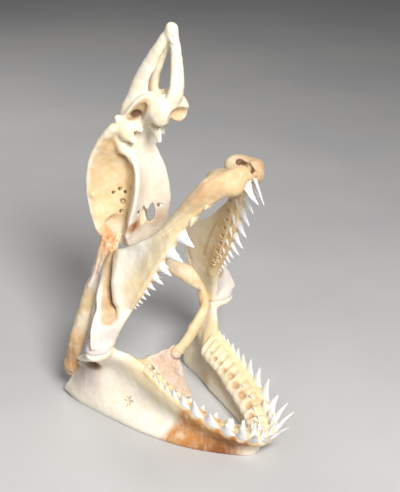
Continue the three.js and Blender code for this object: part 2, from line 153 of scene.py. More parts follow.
def upper_row(t):
    a = UPPER_ARCH
    forward, aside = arch_share(t, a["power"])
    back = unit([0, a["front_z"] - a["rear_z"], a["rear_y"] - a["front_y"]])
    flat = np.stack([
        np.maximum(a["half_width"] * aside, MIDLINE),
        mix(a["rear_y"], a["front_y"], forward),
        mix(a["rear_z"], a["front_z"], forward)], -1)
    return flat + back * (a["bow"] * np.sin(np.pi * forward ** 2))[..., None]


def chin_line(t, half_width, rear_y):
    a = CHIN_ARCH
    forward, aside = arch_share(t, a["power"])
    y = mix(rear_y, a["front_y"], forward)
    rise = a["rear_rise"] * np.clip(1 - (rear_y - y) / a["rise_length"], 0, 1) ** 1.5
    return np.stack([np.maximum(half_width * aside, MIDLINE), y, rise - a["sunk"]], -1)


def speckle(points, cell, seed):
    """Smooth random values from -1 to 1, one for each point, with lumps about a cell wide."""
    table = np.random.default_rng(seed).uniform(-1, 1, TABLE_SIZE)
    p = np.asarray(points, float) / cell
    base = np.floor(p).astype(np.int64)
    f = p - base
    f = f * f * (3 - 2 * f)
    total = 0
    for corner in np.ndindex(2, 2, 2):
        i = base + corner
        x, y, z = (i * TABLE_FACTORS).T
        value = table[(x ^ y ^ z) % TABLE_SIZE]
        share = np.prod(np.where(corner, f, 1 - f), axis=1)
        total = total + value * share
    return total


# Lofted skins

def loft(rings):
    """Points and quads of a closed skin over rings of points."""
    rings = np.asarray(rings, float)
    rows, count, _ = rings.shape
    caps = np.stack([rings[0].mean(0), rings[-1].mean(0)])
    points = np.vstack([rings.reshape(-1, 3), caps])
    i, k = np.meshgrid(np.arange(rows - 1), np.arange(count), indexing="ij")
    nxt = (k + 1) % count
    here, beyond = i * count, (i + 1) * count
    quads = np.stack([here + k, here + nxt, beyond + nxt, beyond + k], -1).reshape(-1, 4)
    k = np.arange(count)
    nxt = (k + 1) % count
    last = (rows - 1) * count
    triangles = np.vstack([
        np.stack([nxt, k, np.full(count, rows * count)], -1),
        np.stack([last + k, last + nxt, np.full(count, rows * count + 1)], -1)])
    return points, quads, triangles


def bar(path, side, sizes, steps=60, sides=32):
    """A bar of oval section along a path; sizes(t) gives its half-width and half-depth."""
    middle = spline(path, steps)
    tangent = unit(np.gradient(middle, axis=0))
    depth = unit(np.cross(tangent, np.asarray(side, float)))
    width = unit(np.cross(depth, tangent))
    t = np.linspace(0, 1, steps)
    a, b = (np.broadcast_to(np.asarray(s, float), t.shape) for s in sizes(t))
    angle = np.linspace(0, 2 * np.pi, sides, endpoint=False)
    ring = (middle[:, None] + width[:, None] * (a[:, None] * np.cos(angle))[..., None]
            + depth[:, None] * (b[:, None] * np.sin(angle))[..., None])
    return loft(ring)


class Plate:
    """A plate between two edges, with its directions at each station."""

    def __init__(self, low, high, stations=150, across=80):
        self.low = spline(low, stations)
        self.high = spline(high, stations)
        self.t = np.linspace(0, 1, stations)
        self.across = unit(self.high - self.low)
        along = unit(np.gradient(self.low, axis=0) + np.gradient(self.high, axis=0))
        self.outward = unit(np.cross(self.across, along))
        self.width = np.linalg.norm(self.high - self.low, axis=1)
        self.points_across = across

    def skin(self, outer, inner):
        """The plate's closed skin; outer and inner give the distance of each face from the middle sheet."""
        s = (1 - np.cos(np.linspace(0, np.pi, self.points_across + 1))) / 2
        rounding = np.sqrt(1 - np.abs(2 * s - 1) ** 5)
        t = self.t[:, None]
        middle = self.low[:, None] + (self.high - self.low)[:, None] * s[None, :, None]
        out, into = outer(t, s[None]), inner(t, s[None])
        bend, half = (out - into) / 2, (out + into) / 2 * rounding
        outside = middle + self.outward[:, None] * (bend + half)[..., None]
        inside = middle + self.outward[:, None] * (bend - half)[..., None]
        return loft(np.concatenate([outside, inside[:, -2:0:-1]], axis=1))

    def beside(self, point):
        """Directions across and out of the plate at the place on its low edge that is next to a point."""
        k = np.argmin(np.linalg.norm(self.low - point, axis=1))
        return self.across[k], self.outward[k]

    def under(self, point, down, inner, proud=0.0):
        """A place on the inner face, down from the high edge next to a point."""
        k = np.argmin(np.linalg.norm(self.high - point, axis=1))
        depth = float(inner(self.t[k], 1 - down / self.width[k])) + proud
        return self.high[k] - self.across[k] * down - self.outward[k] * depth


# Clay: a distance to the surface on a grid, negative inside, that is added to, carved and meshed

def soften(a, b, k):
    share = np.clip(0.5 + 0.5 * (b - a) / k, 0, 1)
    return b + (a - b) * share - k * share * (1 - share)


class Clay:
    def __init__(self, low, high, grain):
        self.grain = grain
        self.first = np.floor(np.asarray(low) / grain).astype(int)
        last = np.ceil(np.asarray(high) / grain).astype(int)
        self.shape = tuple(int(n) for n in last - self.first + 1)
        axes = [((self.first[k] + np.arange(self.shape[k])) * grain).astype(np.float32) for k in range(3)]
        self.x, self.y, self.z = np.meshgrid(*axes, indexing="ij", sparse=True)
        self.field = np.full(self.shape, REACH, np.float32)

    def block(self, low, high):
        """The part of the grid round a box, as slices."""
        first = np.clip(np.floor(np.asarray(low) / self.grain).astype(int) - self.first, 0, self.shape)
        last = np.clip(np.ceil(np.asarray(high) / self.grain).astype(int) - self.first + 1, 0, self.shape)
        return tuple(slice(int(a), int(b)) for a, b in zip(first, last))

    def skin(self, parts):
        """The distance to a closed skin."""
        points, quads, triangles = parts
        where = self.block(points.min(0) - REACH, points.max(0) + REACH)
        grid = openvdb.FloatGrid.createLevelSetFromPolygons(
            points.astype(np.float32), triangles=triangles.astype(np.uint32), quads=quads.astype(np.uint32),
            transform=openvdb.createLinearTransform(voxelSize=self.grain), halfWidth=REACH / self.grain)
        field = np.empty([s.stop - s.start for s in where], np.float32)
        grid.copyToArray(field, ijk=tuple(int(n + s.start) for n, s in zip(self.first, where)))
        return where, field

    def ball(self, centre, radii):
        """The distance to an ellipsoid, near enough for blending."""
        radii = np.broadcast_to(np.asarray(radii, float), 3)
        where = self.block(centre - radii - REACH, centre + radii + REACH)
        axes = (self.x[where[0]], self.y[:, where[1]], self.z[:, :, where[2]])
        x, y, z = ((a - c) / r for a, c, r in zip(axes, centre, radii))
        near = np.sqrt(x ** 2 + y ** 2 + z ** 2)
        slope = np.sqrt((x / radii[0]) ** 2 + (y / radii[1]) ** 2 + (z / radii[2]) ** 2)
        return where, np.clip(near * (near - 1) / np.maximum(slope, 1e-6), -REACH, REACH).astype(np.float32)

    def add(self, shape, blend=4.0):
        where, field = shape
        self.field[where] = soften(self.field[where], field, blend)

    def carve(self, shape, blend=3.0):
        where, field = shape
        self.field[where] = -soften(-self.field[where], field, blend)

    def trim(self, distance):
        self.field = np.maximum(self.field, distance)

    def averaged(self, reach):
        """The field's mean over a cube: above 0 on outer curves of the surface and below 0 in hollows."""
        n = max(int(round(reach / self.grain)), 1)
        total = self.field
        for axis in range(3):
            pad = [(n + 1, n) if k == axis else (0, 0) for k in range(3)]
            run = np.cumsum(np.pad(total, pad, mode="edge"), axis=axis, dtype=np.float64)
            size = total.shape[axis]
            upper = np.take(run, np.arange(2 * n + 1, 2 * n + 1 + size), axis=axis)
            lower = np.take(run, np.arange(size), axis=axis)
            total = ((upper - lower) / (2 * n + 1)).astype(np.float32)
        return total

    def sample(self, field, points):
        where = points / self.grain - self.first
        i = np.clip(where.astype(int), 0, np.array(self.shape) - 2)
        f = where - i
        total = 0
        for corner in np.ndindex(2, 2, 2):
            share = np.prod(np.where(corner, f, 1 - f), axis=1)
            total = total + share * field[i[:, 0] + corner[0], i[:, 1] + corner[1], i[:, 2] + corner[2]]
        return total

    def surface(self):
        grid = openvdb.FloatGrid(REACH)
        grid.copyFromArray(self.field, ijk=tuple(int(n) for n in self.first))
        grid.transform = openvdb.createLinearTransform(voxelSize=self.grain)
        points, quads = grid.convertToQuads(isovalue=0.0)
        points = points.astype(float)
        a, b, c, d = (points[quads[:, k]] for k in range(4))
        volume = np.einsum("ij,ij->", (a + b + c + d) / 4, np.cross(c - a, d - b))
        return points, (quads if volume > 0 else quads[:, ::-1])


def facing(points, quads):
    """Normals at the points of a mesh of quads."""
    a, b, c, d = (points[quads[:, k]] for k in range(4))
    face = np.cross(c - a, d - b)
    normal = np.zeros_like(points)
    for k in range(4):
        np.add.at(normal, quads[:, k], face)
    return unit(normal)


def biggest_piece(points, quads):
    """The mesh without loose scraps."""
    label = np.arange(len(points))
    while True:
        low = label[quads].min(1)
        new = label.copy()
        for k in range(4):
            np.minimum.at(new, quads[:, k], low)
        new = new[new]
        if (new == label).all():
            break
        label = new
    names, counts = np.unique(label, return_counts=True)
    keep = label == names[counts.argmax()]
    number = np.cumsum(keep) - 1
    return points[keep], number[quads[keep[quads[:, 0]]]]


def mirrored(points, quads):
    return points * [-1, 1, 1], quads[:, ::-1]


def settle(piece, node):
    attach(piece, "root")
    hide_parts(node)


def place_piece(name, shape, material, node, side=1):
    """A mesh object in the frame's place and metres, with its tints as attributes of its points."""
    points, quads, tints = shape
    if side < 0:
        points, quads = mirrored(points, quads)
    mesh = bpy.data.meshes.new(name)
    mesh.from_pydata((points + PLACE) * MM, [], [list(quad) for quad in quads])
    for tint, values in tints.items():
        mesh.attributes.new(tint, "FLOAT", "POINT").data.foreach_set("value", np.asarray(values, np.float32))
    mesh.materials.append(material)
    mesh.polygons.foreach_set("use_smooth", np.full(len(mesh.polygons), True))
    piece = bpy.data.objects.new(name, mesh)
    bpy.context.scene.collection.objects.link(piece)
    settle(piece, node)


# Node graphs: sockets with arithmetic, and one method that makes any node

class Wire:
    """An output socket of a node; arithmetic on it adds the maths nodes."""

    def __init__(self, graph, socket):
        self.graph = graph
        self.socket = socket

    def __add__(self, other):
        return self.graph.maths("ADD", self, other)

    def __sub__(self, other):
        return self.graph.maths("SUBTRACT", self, other)

    def __rsub__(self, other):
        return self.graph.maths("SUBTRACT", other, self)

    def __mul__(self, other):
        return self.graph.maths("MULTIPLY", self, other)

    def __pow__(self, other):
        return self.graph.maths("POWER", self, other)

    __radd__ = __add__
    __rmul__ = __mul__


class Graph:
    def __init__(self, tree):
        self.tree = tree

    def feed(self, socket, value):
        if isinstance(value, Wire):
            self.tree.links.new(value.socket, socket)
        else:
            socket.default_value = value

    def node(self, kind, settings=None, sockets=None, output=0):
        """A node of a type, with its settings and the values or links of its sockets; returns one output."""
        node = self.tree.nodes.new(kind)
        for name, value in (settings or {}).items():
            setattr(node, name, value)
        for key, value in (sockets or {}).items():
            self.feed(node.inputs[key], value)
        return Wire(self, node.outputs[output]) if node.outputs else node

    def maths(self, operation, *values):
        vectors = [isinstance(v, Wire) and v.socket.type == "VECTOR" for v in values]
        if not any(vectors):
            return self.node("ShaderNodeMath", dict(operation=operation), dict(enumerate(values)))
        numbers = [v for v, vector in zip(values, vectors) if not vector and not isinstance(v, tuple)]
        if operation == "MULTIPLY" and numbers:
            other = next(v for v in values if v is not numbers[0])
            return self.node("ShaderNodeVectorMath", dict(operation="SCALE"), {0: other, "Scale": numbers[0]})
        return self.node("ShaderNodeVectorMath", dict(operation=operation), dict(enumerate(values)))

    def blend(self, share, a, b):
        """A colour between two."""
        return self.node("ShaderNodeMix", dict(data_type="RGBA"), {0: share, 6: a, 7: b}, output=2)

    def between(self, value, low, high):
        """0 below low and 1 above high."""
        settings = dict(interpolation_type="SMOOTHSTEP")
        return self.node("ShaderNodeMapRange", settings, {0: value, 1: low, 2: high, 3: 0.0, 4: 1.0})


class Finish(Graph):
    """A material's graph, with the patterns that these finishes share."""

    def __init__(self, name):
        self.material = bpy.data.materials.new(name)
        self.material.use_nodes = True
        tree = self.material.node_tree
        tree.nodes.clear()
        super().__init__(tree)
        self.place = self.node("ShaderNodeTexCoord", output="Object") * (1 / MM)

    def noise(self, size, detail=3.0, rough=0.55, stretch=None):
        """Soft noise from 0 to 1 with lumps about size millimetres wide, drawn out along an axis if asked."""
        where = self.place if stretch is None else self.node(
            "ShaderNodeVectorMath", dict(operation="MULTIPLY"), {0: self.place, 1: stretch})
        sockets = {"Vector": where, "Scale": 1 / size, "Detail": detail, "Roughness": rough}
        return self.node("ShaderNodeTexNoise", None, sockets)

    def tint(self, name):
        return self.node("ShaderNodeAttribute", dict(attribute_name=name), output="Fac")

    def bump(self, height, distance, strength, normal=None):
        sockets = {"Height": height, "Distance": distance * MM, "Strength": strength}
        if normal is not None:
            sockets["Normal"] = normal
        return self.node("ShaderNodeBump", None, sockets)

    def close(self, colour, roughness, normal, fixed):
        shader = self.node("ShaderNodeBsdfPrincipled", None, {
            "Base Color": colour, "Roughness": roughness, "Normal": normal, **fixed})
        self.node("ShaderNodeOutputMaterial", None, {"Surface": shader})
        return self.material


def rgb(r, g, b):
    return (r, g, b, 1.0)


IVORY = rgb(0.83, 0.73, 0.54)
CHALK = rgb(0.92, 0.88, 0.81)
# Ochre is partly the cartilage's own brown and partly painted shade in hollows
OCHRE = rgb(0.52, 0.31, 0.12)
STRAW = rgb(0.78, 0.60, 0.31)
AMBER = rgb(0.55, 0.24, 0.06)
RUSSET = rgb(0.20, 0.055, 0.015)
# Umber is painted shade at the bottom of pits, holes and slits; lilac is painted shade on the cartilage and
# tints a stretch of the hanging bars
UMBER = rgb(0.09, 0.028, 0.009)
LILAC = rgb(0.60, 0.51, 0.52)
HONEY, CREAM, WAX = rgb(0.76, 0.58, 0.33), rgb(0.84, 0.73, 0.55), rgb(0.88, 0.76, 0.58)
RUST, DARK_RUST = rgb(0.60, 0.26, 0.07), rgb(0.30, 0.09, 0.03)
TAN, ROSE, PALE_ROSE = rgb(0.62, 0.46, 0.33), rgb(0.66, 0.53, 0.46), rgb(0.76, 0.66, 0.56)
BROWN, DARK_BROWN = rgb(0.45, 0.25, 0.12), rgb(0.34, 0.15, 0.06)
ROOT_TAN, NECK_CREAM, ENAMEL_WHITE = rgb(0.66, 0.51, 0.31), rgb(0.80, 0.76, 0.69), rgb(0.82, 0.82, 0.82)


def cartilage_finish():
    """Dry cartilage: ivory with chalky edges, ochre that is partly its colour and partly painted shade in
    hollows, painted lilac shade, amber stains, and pits darkened with painted shade.
    """
    f = Finish("dry_cartilage")
    cloud = f.noise(34, 4)
    mottle = f.noise(9, 5, 0.62)
    grain = f.noise(1.6, 4, 0.6)
    streak = f.noise(7, 4, 0.6, stretch=(1.0, 1.0, 0.16))
    colour = f.blend(f.between(cloud, 0.35, 0.68) * 0.55, IVORY, CHALK)
    colour = f.blend(f.between(mottle, 0.48, 0.75) * 0.35, colour, STRAW)
    colour = f.blend(f.tint("edge") * f.between(mottle, 0.25, 0.6) * 0.85, colour, CHALK)
    # Painted shade: lilac on faces turned from the light and in hollows
    colour = f.blend(f.tint("lilac") * (0.45 + f.between(streak, 0.3, 0.7) * 0.45), colour, LILAC)
    # Straw: yellow along the rows and in the orbits, and painted shade in the braincase's hollows
    colour = f.blend(f.tint("straw") * (0.35 + f.between(mottle, 0.3, 0.7) * 0.5), colour, STRAW)
    patches = 0.45 + f.between(cloud + mottle * 0.6, 0.5, 1.0) * 0.4
    # Ochre: real brown in stained and gum places, and painted shade in hollows and recesses
    colour = f.blend(f.tint("ochre") * patches, colour, OCHRE)
    colour = f.blend(f.tint("stain") * f.between(streak + mottle * 0.7, 0.3, 0.95), colour, AMBER)
    colour = f.blend(f.tint("burnt") * f.between(streak + mottle, 0.5, 1.1) * 0.85, colour, RUSSET)
    # Painted shade: umber at the bottom of pits, sockets, holes and slits
    colour = f.blend(f.between(f.tint("pit"), 0.15, 0.8) * 0.9, colour, UMBER)
    roughness = 0.44 + mottle * 0.22 + f.tint("stain") * 0.1
    relief = f.bump(mottle + streak * 0.5, 0.6, 0.35)
    normal = f.bump(grain, 0.12, 0.4, relief)
    return f.close(colour, roughness, normal, {
        "Specular IOR Level": 0.45, "Subsurface Weight": 0.12, "Subsurface Scale": 0.004,
        "Subsurface Radius": (1.0, 0.6, 0.35)})


def tissue_finish():
    """Dried ligament: amber and orange-brown over cream, in long fibres."""
    f = Finish("dried_tissue")
    fibre = f.noise(5, 5, 0.65, stretch=(1.0, 1.0, 0.2))
    cloud = f.noise(20, 4)
    grain = f.noise(1.4, 4, 0.6)
    colour = f.blend(f.between(cloud, 0.38, 0.62), HONEY, CREAM)
    colour = f.blend(f.tint("lilac") * 0.8, colour, LILAC)
    colour = f.blend(f.tint("stain") * (0.4 + f.between(fibre, 0.4, 0.65) * 0.6), colour, RUST)
    colour = f.blend(f.tint("edge") * 0.5, colour, WAX)
    # Painted shade: darker rust in the hollows of the stained parts
    colour = f.blend(f.tint("ochre") * f.tint("stain"), colour, DARK_RUST)
    normal = f.bump(grain, 0.15, 0.5, f.bump(fibre, 1.2, 0.6))
    return f.close(colour, 0.42 + fibre * 0.3, normal, {
        "Specular IOR Level": 0.5, "Subsurface Weight": 0.1, "Subsurface Scale": 0.004,
        "Subsurface Radius": (1.0, 0.5, 0.25)})


def tongue_finish():
    """Dried skin over the tongue cartilage: pinkish brown with lilac patches."""
    f = Finish("dried_tongue")
    cloud = f.noise(13, 4)
    wrinkle = f.noise(4, 5, 0.65)
    grain = f.noise(1.2, 4, 0.6)
    colour = f.blend(f.between(cloud, 0.38, 0.62), TAN, ROSE)
    colour = f.blend(f.between(wrinkle, 0.5, 0.75) * 0.5, colour, BROWN)
    colour = f.blend(f.tint("edge") * 0.6, colour, PALE_ROSE)
    # Painted shade: darker brown in the hollows
    colour = f.blend(f.tint("ochre") * 0.5, colour, DARK_BROWN)
    normal = f.bump(grain, 0.12, 0.4, f.bump(wrinkle, 1.0, 0.6))
    return f.close(colour, 0.5 + wrinkle * 0.2, normal, {"Specular IOR Level": 0.4})


def enamel_finish():
    """Tooth enamel: glossy cool white, cream and ochre towards the root."""
    f = Finish("tooth_enamel")
    mottle = f.noise(3, 4)
    stripe = f.noise(1.5, 3, 0.6, stretch=(1.0, 1.0, 0.3))
    lift = f.tint("lift")
    colour = f.blend(f.between(lift, 0.02, 0.34), ROOT_TAN, NECK_CREAM)
    colour = f.blend(f.between(lift, 0.3, 0.75), colour, ENAMEL_WHITE)
    colour = f.blend(f.between(mottle, 0.52, 0.75) * (1 - f.between(lift, 0.1, 0.55)) * 0.6, colour, STRAW)
    roughness = 0.5 - f.between(lift, 0.05, 0.35) * 0.28
    normal = f.bump(stripe, 0.15, 0.3)
    return f.close(colour, roughness, normal, {
        "Specular IOR Level": 0.5, "Subsurface Weight": 0.1, "Subsurface Scale": 0.003,
        "Subsurface Radius": (1.0, 0.9, 0.8)})


# Teeth: seats along the rows, and one crown that is instanced on them

CROWN_THICKNESS = 0.36
# The crown's outline: how it tapers, how far its root flares and what share of the height is below the gum
CROWN_FORM = {"Taper": 0.76, "Flare": 0.34, "Root share": 0.24}
# Range of the crowns' worn heights, and how unevenly they stand
CROWN_WEAR, CROWN_TILT = (0.93, 1.05), 0.035
# The lower crowns' sizes against the list
LOWER_SIZE = dict(height=1.06, width=1.22)
UPPER_SLOPE = dict(front=68, rear=32, bend=0.6, hook=0.15, folded=(-0.2, 0.9, -0.38))
# How far the upper teeth of a side lean outwards, and how much less they droop in degrees
UPPER_LEAN = dict(left=(0.12, 0), right=(-0.32, 14))
# Numbers of the upper teeth that lie folded inwards, counted from the midline
UPPER_LYING = dict(left=(), right=(1, 2, 3, 4))
# Second row of the upper jaw, on the inner pad behind the standing teeth
SECOND_ROW = dict(first=2, last=10, lift=7.0, inward=7.5, size=0.62, tuck=0.45)
LOWER_SLOPE = dict(front=52, rear=14, upright_from=0.5, curl=-0.2)
YOUNG_ROWS = dict(rows=2, share=0.35, spacing=6.5, sunk=1, drop=4, turn=28, shrink=0.14)
# Flat replacement teeth on the inner pad further back
LYING_ROW = dict(share=0.72, inward=5.5, drop=7.5, turn=66, size=0.72)


def row_places(row, crowns):
    """Root, direction along the row, size and share of the row for each crown, from the midline outwards."""
    widths = np.array([width for _, width in crowns], float)
    shares = (np.cumsum(widths) - widths / 2) / widths.sum()
    roots, along = even(row(np.linspace(1, 0, ROW_STEPS)), shares)
    return list(zip(crowns, shares, roots, along))


def crown_seat(root, axis, along, height, width, hook=0.0, curl=0.0):
    axis = unit(axis)
    side = unit(along - axis * np.dot(along, axis))
    return dict(root=root, axis=axis, side=side, face=np.cross(axis, side), height=height, width=width,
                hook=hook, curl=curl)


def upper_seats(plate, label):
    """Seats of the standing upper teeth and of the younger row behind them."""
    slope, second, lying = UPPER_SLOPE, SECOND_ROW, UPPER_LYING[label]
    lean, less = UPPER_LEAN[label]
    seats = []
    for number, ((height, width), share, root, along) in enumerate(row_places(upper_row, UPPER_CROWNS)):
        droop = math.radians(mix(slope["front"], slope["rear"], share ** slope["bend"]) - less)
        hanging = np.array([lean, -math.cos(droop), -math.sin(droop)])
        axis = slope["folded"] if number in lying else hanging
        seats.append(crown_seat(root, axis, along, height, width, hook=slope["hook"]))
        if second["first"] <= number <= second["last"] and number not in lying:
            up, away = plate.beside(root)
            seat = root + up * second["lift"] - away * second["inward"]
            axis = unit(hanging) - away * second["tuck"]
            size = second["size"]
            seats.append(crown_seat(seat, axis, along, height * size, width * size, hook=slope["hook"]))
    return seats


def inward_from(root, along):
    inward = unit([-along[1], along[0], 0])
    return inward if np.dot(inward, [-root[0], LOWER_ARCH["rear_y"] - root[1], 0]) > 0 else -inward


def lower_seats():
    slope, young, lying = LOWER_SLOPE, YOUNG_ROWS, LYING_ROW
    up = np.array([0.0, 0.0, 1.0])
    seats = []
    for (height, width), share, root, along in row_places(lower_row, LOWER_CROWNS):
        inward = inward_from(root, along)
        splay = mix(slope["front"], slope["rear"], min(share / slope["upright_from"], 1))
        rows = [(young["spacing"] * k - young["sunk"], young["sunk"] + young["drop"] * k,
                 splay - young["turn"] * k, 1 - young["shrink"] * k) for k in range(young["rows"] + 1)]
        if share > young["share"]:
            rows = rows[:1]
            if share < lying["share"]:
                rows.append((lying["inward"], lying["drop"], splay - lying["turn"], lying["size"]))
        for depth, drop, lean, size in rows:
            lean = math.radians(lean)
            axis = up * math.cos(lean) - inward * math.sin(lean)
            seat = root + inward * depth - up * drop
            tall, wide = height * size * LOWER_SIZE["height"], width * size * LOWER_SIZE["width"]
            seats.append(crown_seat(seat, axis, along, tall, wide, curl=slope["curl"]))
    return seats


def crown_nodes(material):
    """Instances a crown on each seat: a lens-shaped blade on a flared root, then hooked and curled."""
    tree = bpy.data.node_groups.new("crowns_on_seats", "GeometryNodeTree")
    tree.interface.new_socket("Geometry", in_out="INPUT", socket_type="NodeSocketGeometry")
    inputs = {}
    for name, value in CROWN_FORM.items():
        socket = tree.interface.new_socket(name, in_out="INPUT", socket_type="NodeSocketFloat")
        inputs[socket.identifier] = value
    tree.interface.new_socket("Geometry", in_out="OUTPUT", socket_type="NodeSocketGeometry")
    g = Graph(tree)
    seats = g.node("NodeGroupInput")
    taper, flare, depth = (Wire(g, seats.socket.node.outputs[name]) for name in CROWN_FORM)

    def stored(name, kind):
        return g.node("GeometryNodeInputNamedAttribute", dict(data_type=kind), {"Name": name})

    blank = g.node("GeometryNodeMeshCylinder", dict(fill_type="TRIANGLE_FAN"), {
        "Vertices": 18, "Side Segments": 14, "Radius": 1.0, "Depth": 1.0})
    at = g.node("GeometryNodeInputPosition")
    parts = g.node("ShaderNodeSeparateXYZ", None, {0: at}).socket.node
    x, y, z = (Wire(g, parts.outputs[k]) for k in range(3))
    rise = (z + 0.5) * (depth + 1.0) - depth
    lift = g.maths("MINIMUM", g.maths("MAXIMUM", rise, 0.0), 1.0)
    left = 1.0 - lift
    width = (left ** taper) * (1.0 - flare) + (left ** 6.0) * flare + 0.02
    thick = left ** 0.65 + 0.03
    lens = y * g.maths("ABSOLUTE", y)
    shaped = g.node("ShaderNodeCombineXYZ", None, {0: x * width, 1: lens * thick, 2: rise})
    blank = g.node("GeometryNodeSetPosition", None, {"Geometry": blank, "Position": shaped})
    blank = g.node("GeometryNodeStoreNamedAttribute", dict(data_type="FLOAT", domain="POINT"), {
        "Geometry": blank, "Name": "lift", "Value": lift})
    turn = g.node("FunctionNodeAxesToRotation", dict(primary_axis="Z", secondary_axis="X"), {
        0: stored("axis", "FLOAT_VECTOR"), 1: stored("side", "FLOAT_VECTOR")})
    crowns = g.node("GeometryNodeInstanceOnPoints", None, {
        "Points": seats, "Instance": blank, "Rotation": turn, "Scale": stored("size", "FLOAT_VECTOR")})
    crowns = g.node("GeometryNodeRealizeInstances", None, {"Geometry": crowns})
    lift = stored("lift", "FLOAT")
    bend = stored("side", "FLOAT_VECTOR") * (stored("hook", "FLOAT") * lift ** 2.0)
    bend = bend + stored("face", "FLOAT_VECTOR") * (stored("curl", "FLOAT") * lift * (1.0 - lift))
    crowns = g.node("GeometryNodeSetPosition", None, {"Geometry": crowns, "Offset": bend})
    crowns = g.node("GeometryNodeSetShadeSmooth", None, {"Geometry": crowns})
    crowns = g.node("GeometryNodeSetMaterial", None, {"Geometry": crowns, "Material": material})
    g.node("NodeGroupOutput", None, {"Geometry": crowns})
    return tree, inputs


def tooth_piece(name, seats, side, nodes, node, seed):
    """The teeth of one jaw half, as one piece on the jaw that carries them."""
    chance = np.random.default_rng(seed)
    flip = np.array([side, 1.0, 1.0])
    wear = chance.uniform(*CROWN_WEAR, len(seats))

    def size(seat, share):
        width, height = seat["width"], seat["height"]
        return np.array([width / 2, CROWN_THICKNESS * min(width, height) / 2, height * share]) * MM

    values = {
        "axis": [unit(s["axis"] * flip + chance.normal(0, CROWN_TILT, 3)) for s in seats],
        "side": [s["side"] * flip for s in seats],
        "face": [s["face"] * flip for s in seats],
        "size": [size(s, share) for s, share in zip(seats, wear)],
        "hook": [s["hook"] * s["height"] * MM for s in seats],
        "curl": [s["curl"] * s["height"] * MM for s in seats],
    }
    mesh = bpy.data.meshes.new(name + "_seats")
    mesh.from_pydata([tuple((s["root"] * flip + PLACE) * MM) for s in seats], [], [])
    for key, rows in values.items():
        rows = np.asarray(rows, np.float32)
        vector = rows.ndim == 2
        data = mesh.attributes.new(key, "FLOAT_VECTOR" if vector else "FLOAT", "POINT").data
        data.foreach_set("vector" if vector else "value", rows.ravel())
    piece = bpy.data.objects.new(name, mesh)
    bpy.context.scene.collection.objects.link(piece)
    tree, inputs = nodes
    modifier = piece.modifiers.new("crowns", "NODES")
    modifier.node_group = tree
    for identifier, value in inputs.items():
        modifier[identifier] = value
    graph = bpy.context.evaluated_depsgraph_get()
    shaped = bpy.data.meshes.new_from_object(piece.evaluated_get(graph))
    piece.modifiers.clear()
    piece.data = shaped
    settle(piece, node)


# Cartilage pieces, on the left side unless a side is given

def edges_and_hollow_shade(clay, points):
    """How far each point stands out on an edge and how far down in a hollow it lies, from 0 to 1; the hollow
    value darkens tints as painted shade.
    """
    edge = ease(clay.sample(clay.averaged(2.5), points), 0.12, 0.75)
    hollow = ease(-clay.sample(clay.averaged(8.0), points), 0.25, 2.2)
    return edge, hollow


def near(points, centre, radii):
    """1 at a centre and 0 from an ellipsoid round it outwards."""
    away = np.linalg.norm((points - np.asarray(centre, float)) / np.asarray(radii, float), axis=1)
    return 1 - ease(away, 0.25, 1.0)


def near_line(points, line, close, far):
    """1 within a close distance of the points of a line and 0 from a far one on."""
    away = np.min(np.linalg.norm(points[:, None] - np.asarray(line, float)[None], axis=2), axis=1)
    return 1 - ease(away, close, far)


def roughened(points, quads, seed, sizes):
    """Points moved along their normals by lumps: pairs of lump width and height."""
    normal = facing(points, quads)
    for k, (cell, height) in enumerate(sizes):
        height = np.asarray(height, float)
        points = points + normal * (height * speckle(points, cell, seed + k))[:, None]
    return points


# A healed star-shaped cut on the outer face of the right half
SCAR = [[(65.9, 40.6, 25.3), (62.9, 36.6, 25.5), (62.4, 30.5, 26.8)],
        [(67.3, 35.2, 20.5), (63, 36.2, 25.5), (62, 34.4, 31.5)],
        [(64.4, 38.6, 29.5), (63, 36, 25.6), (65, 32.5, 22.8)]]
# A rib of the gum pad: distances down from the row, and how far it stands out there
PAD_RIB = ((2, -0.5), (7, -0.2), (14, -0.4), (21, -1.2))
# Widths and heights of the lumps in the jaws' surface, and how high the foot of the lower jaw stays flat
SKIN_LUMPS = [(14, 0.5), (5, 0.25), (2.2, 0.08)]
FLAT_FOOT = 0.4
LOWER_JAW = dict(rim=(97, 42, 12, 74), joint_rear=(98, 60, 92), joint_front=(76, 41, 95),
                 foot=15, web=4.5, ridge=7.5, dish=9, pad=13.0, pad_down=25, fossa=7, hollow=(85, 78, 61))


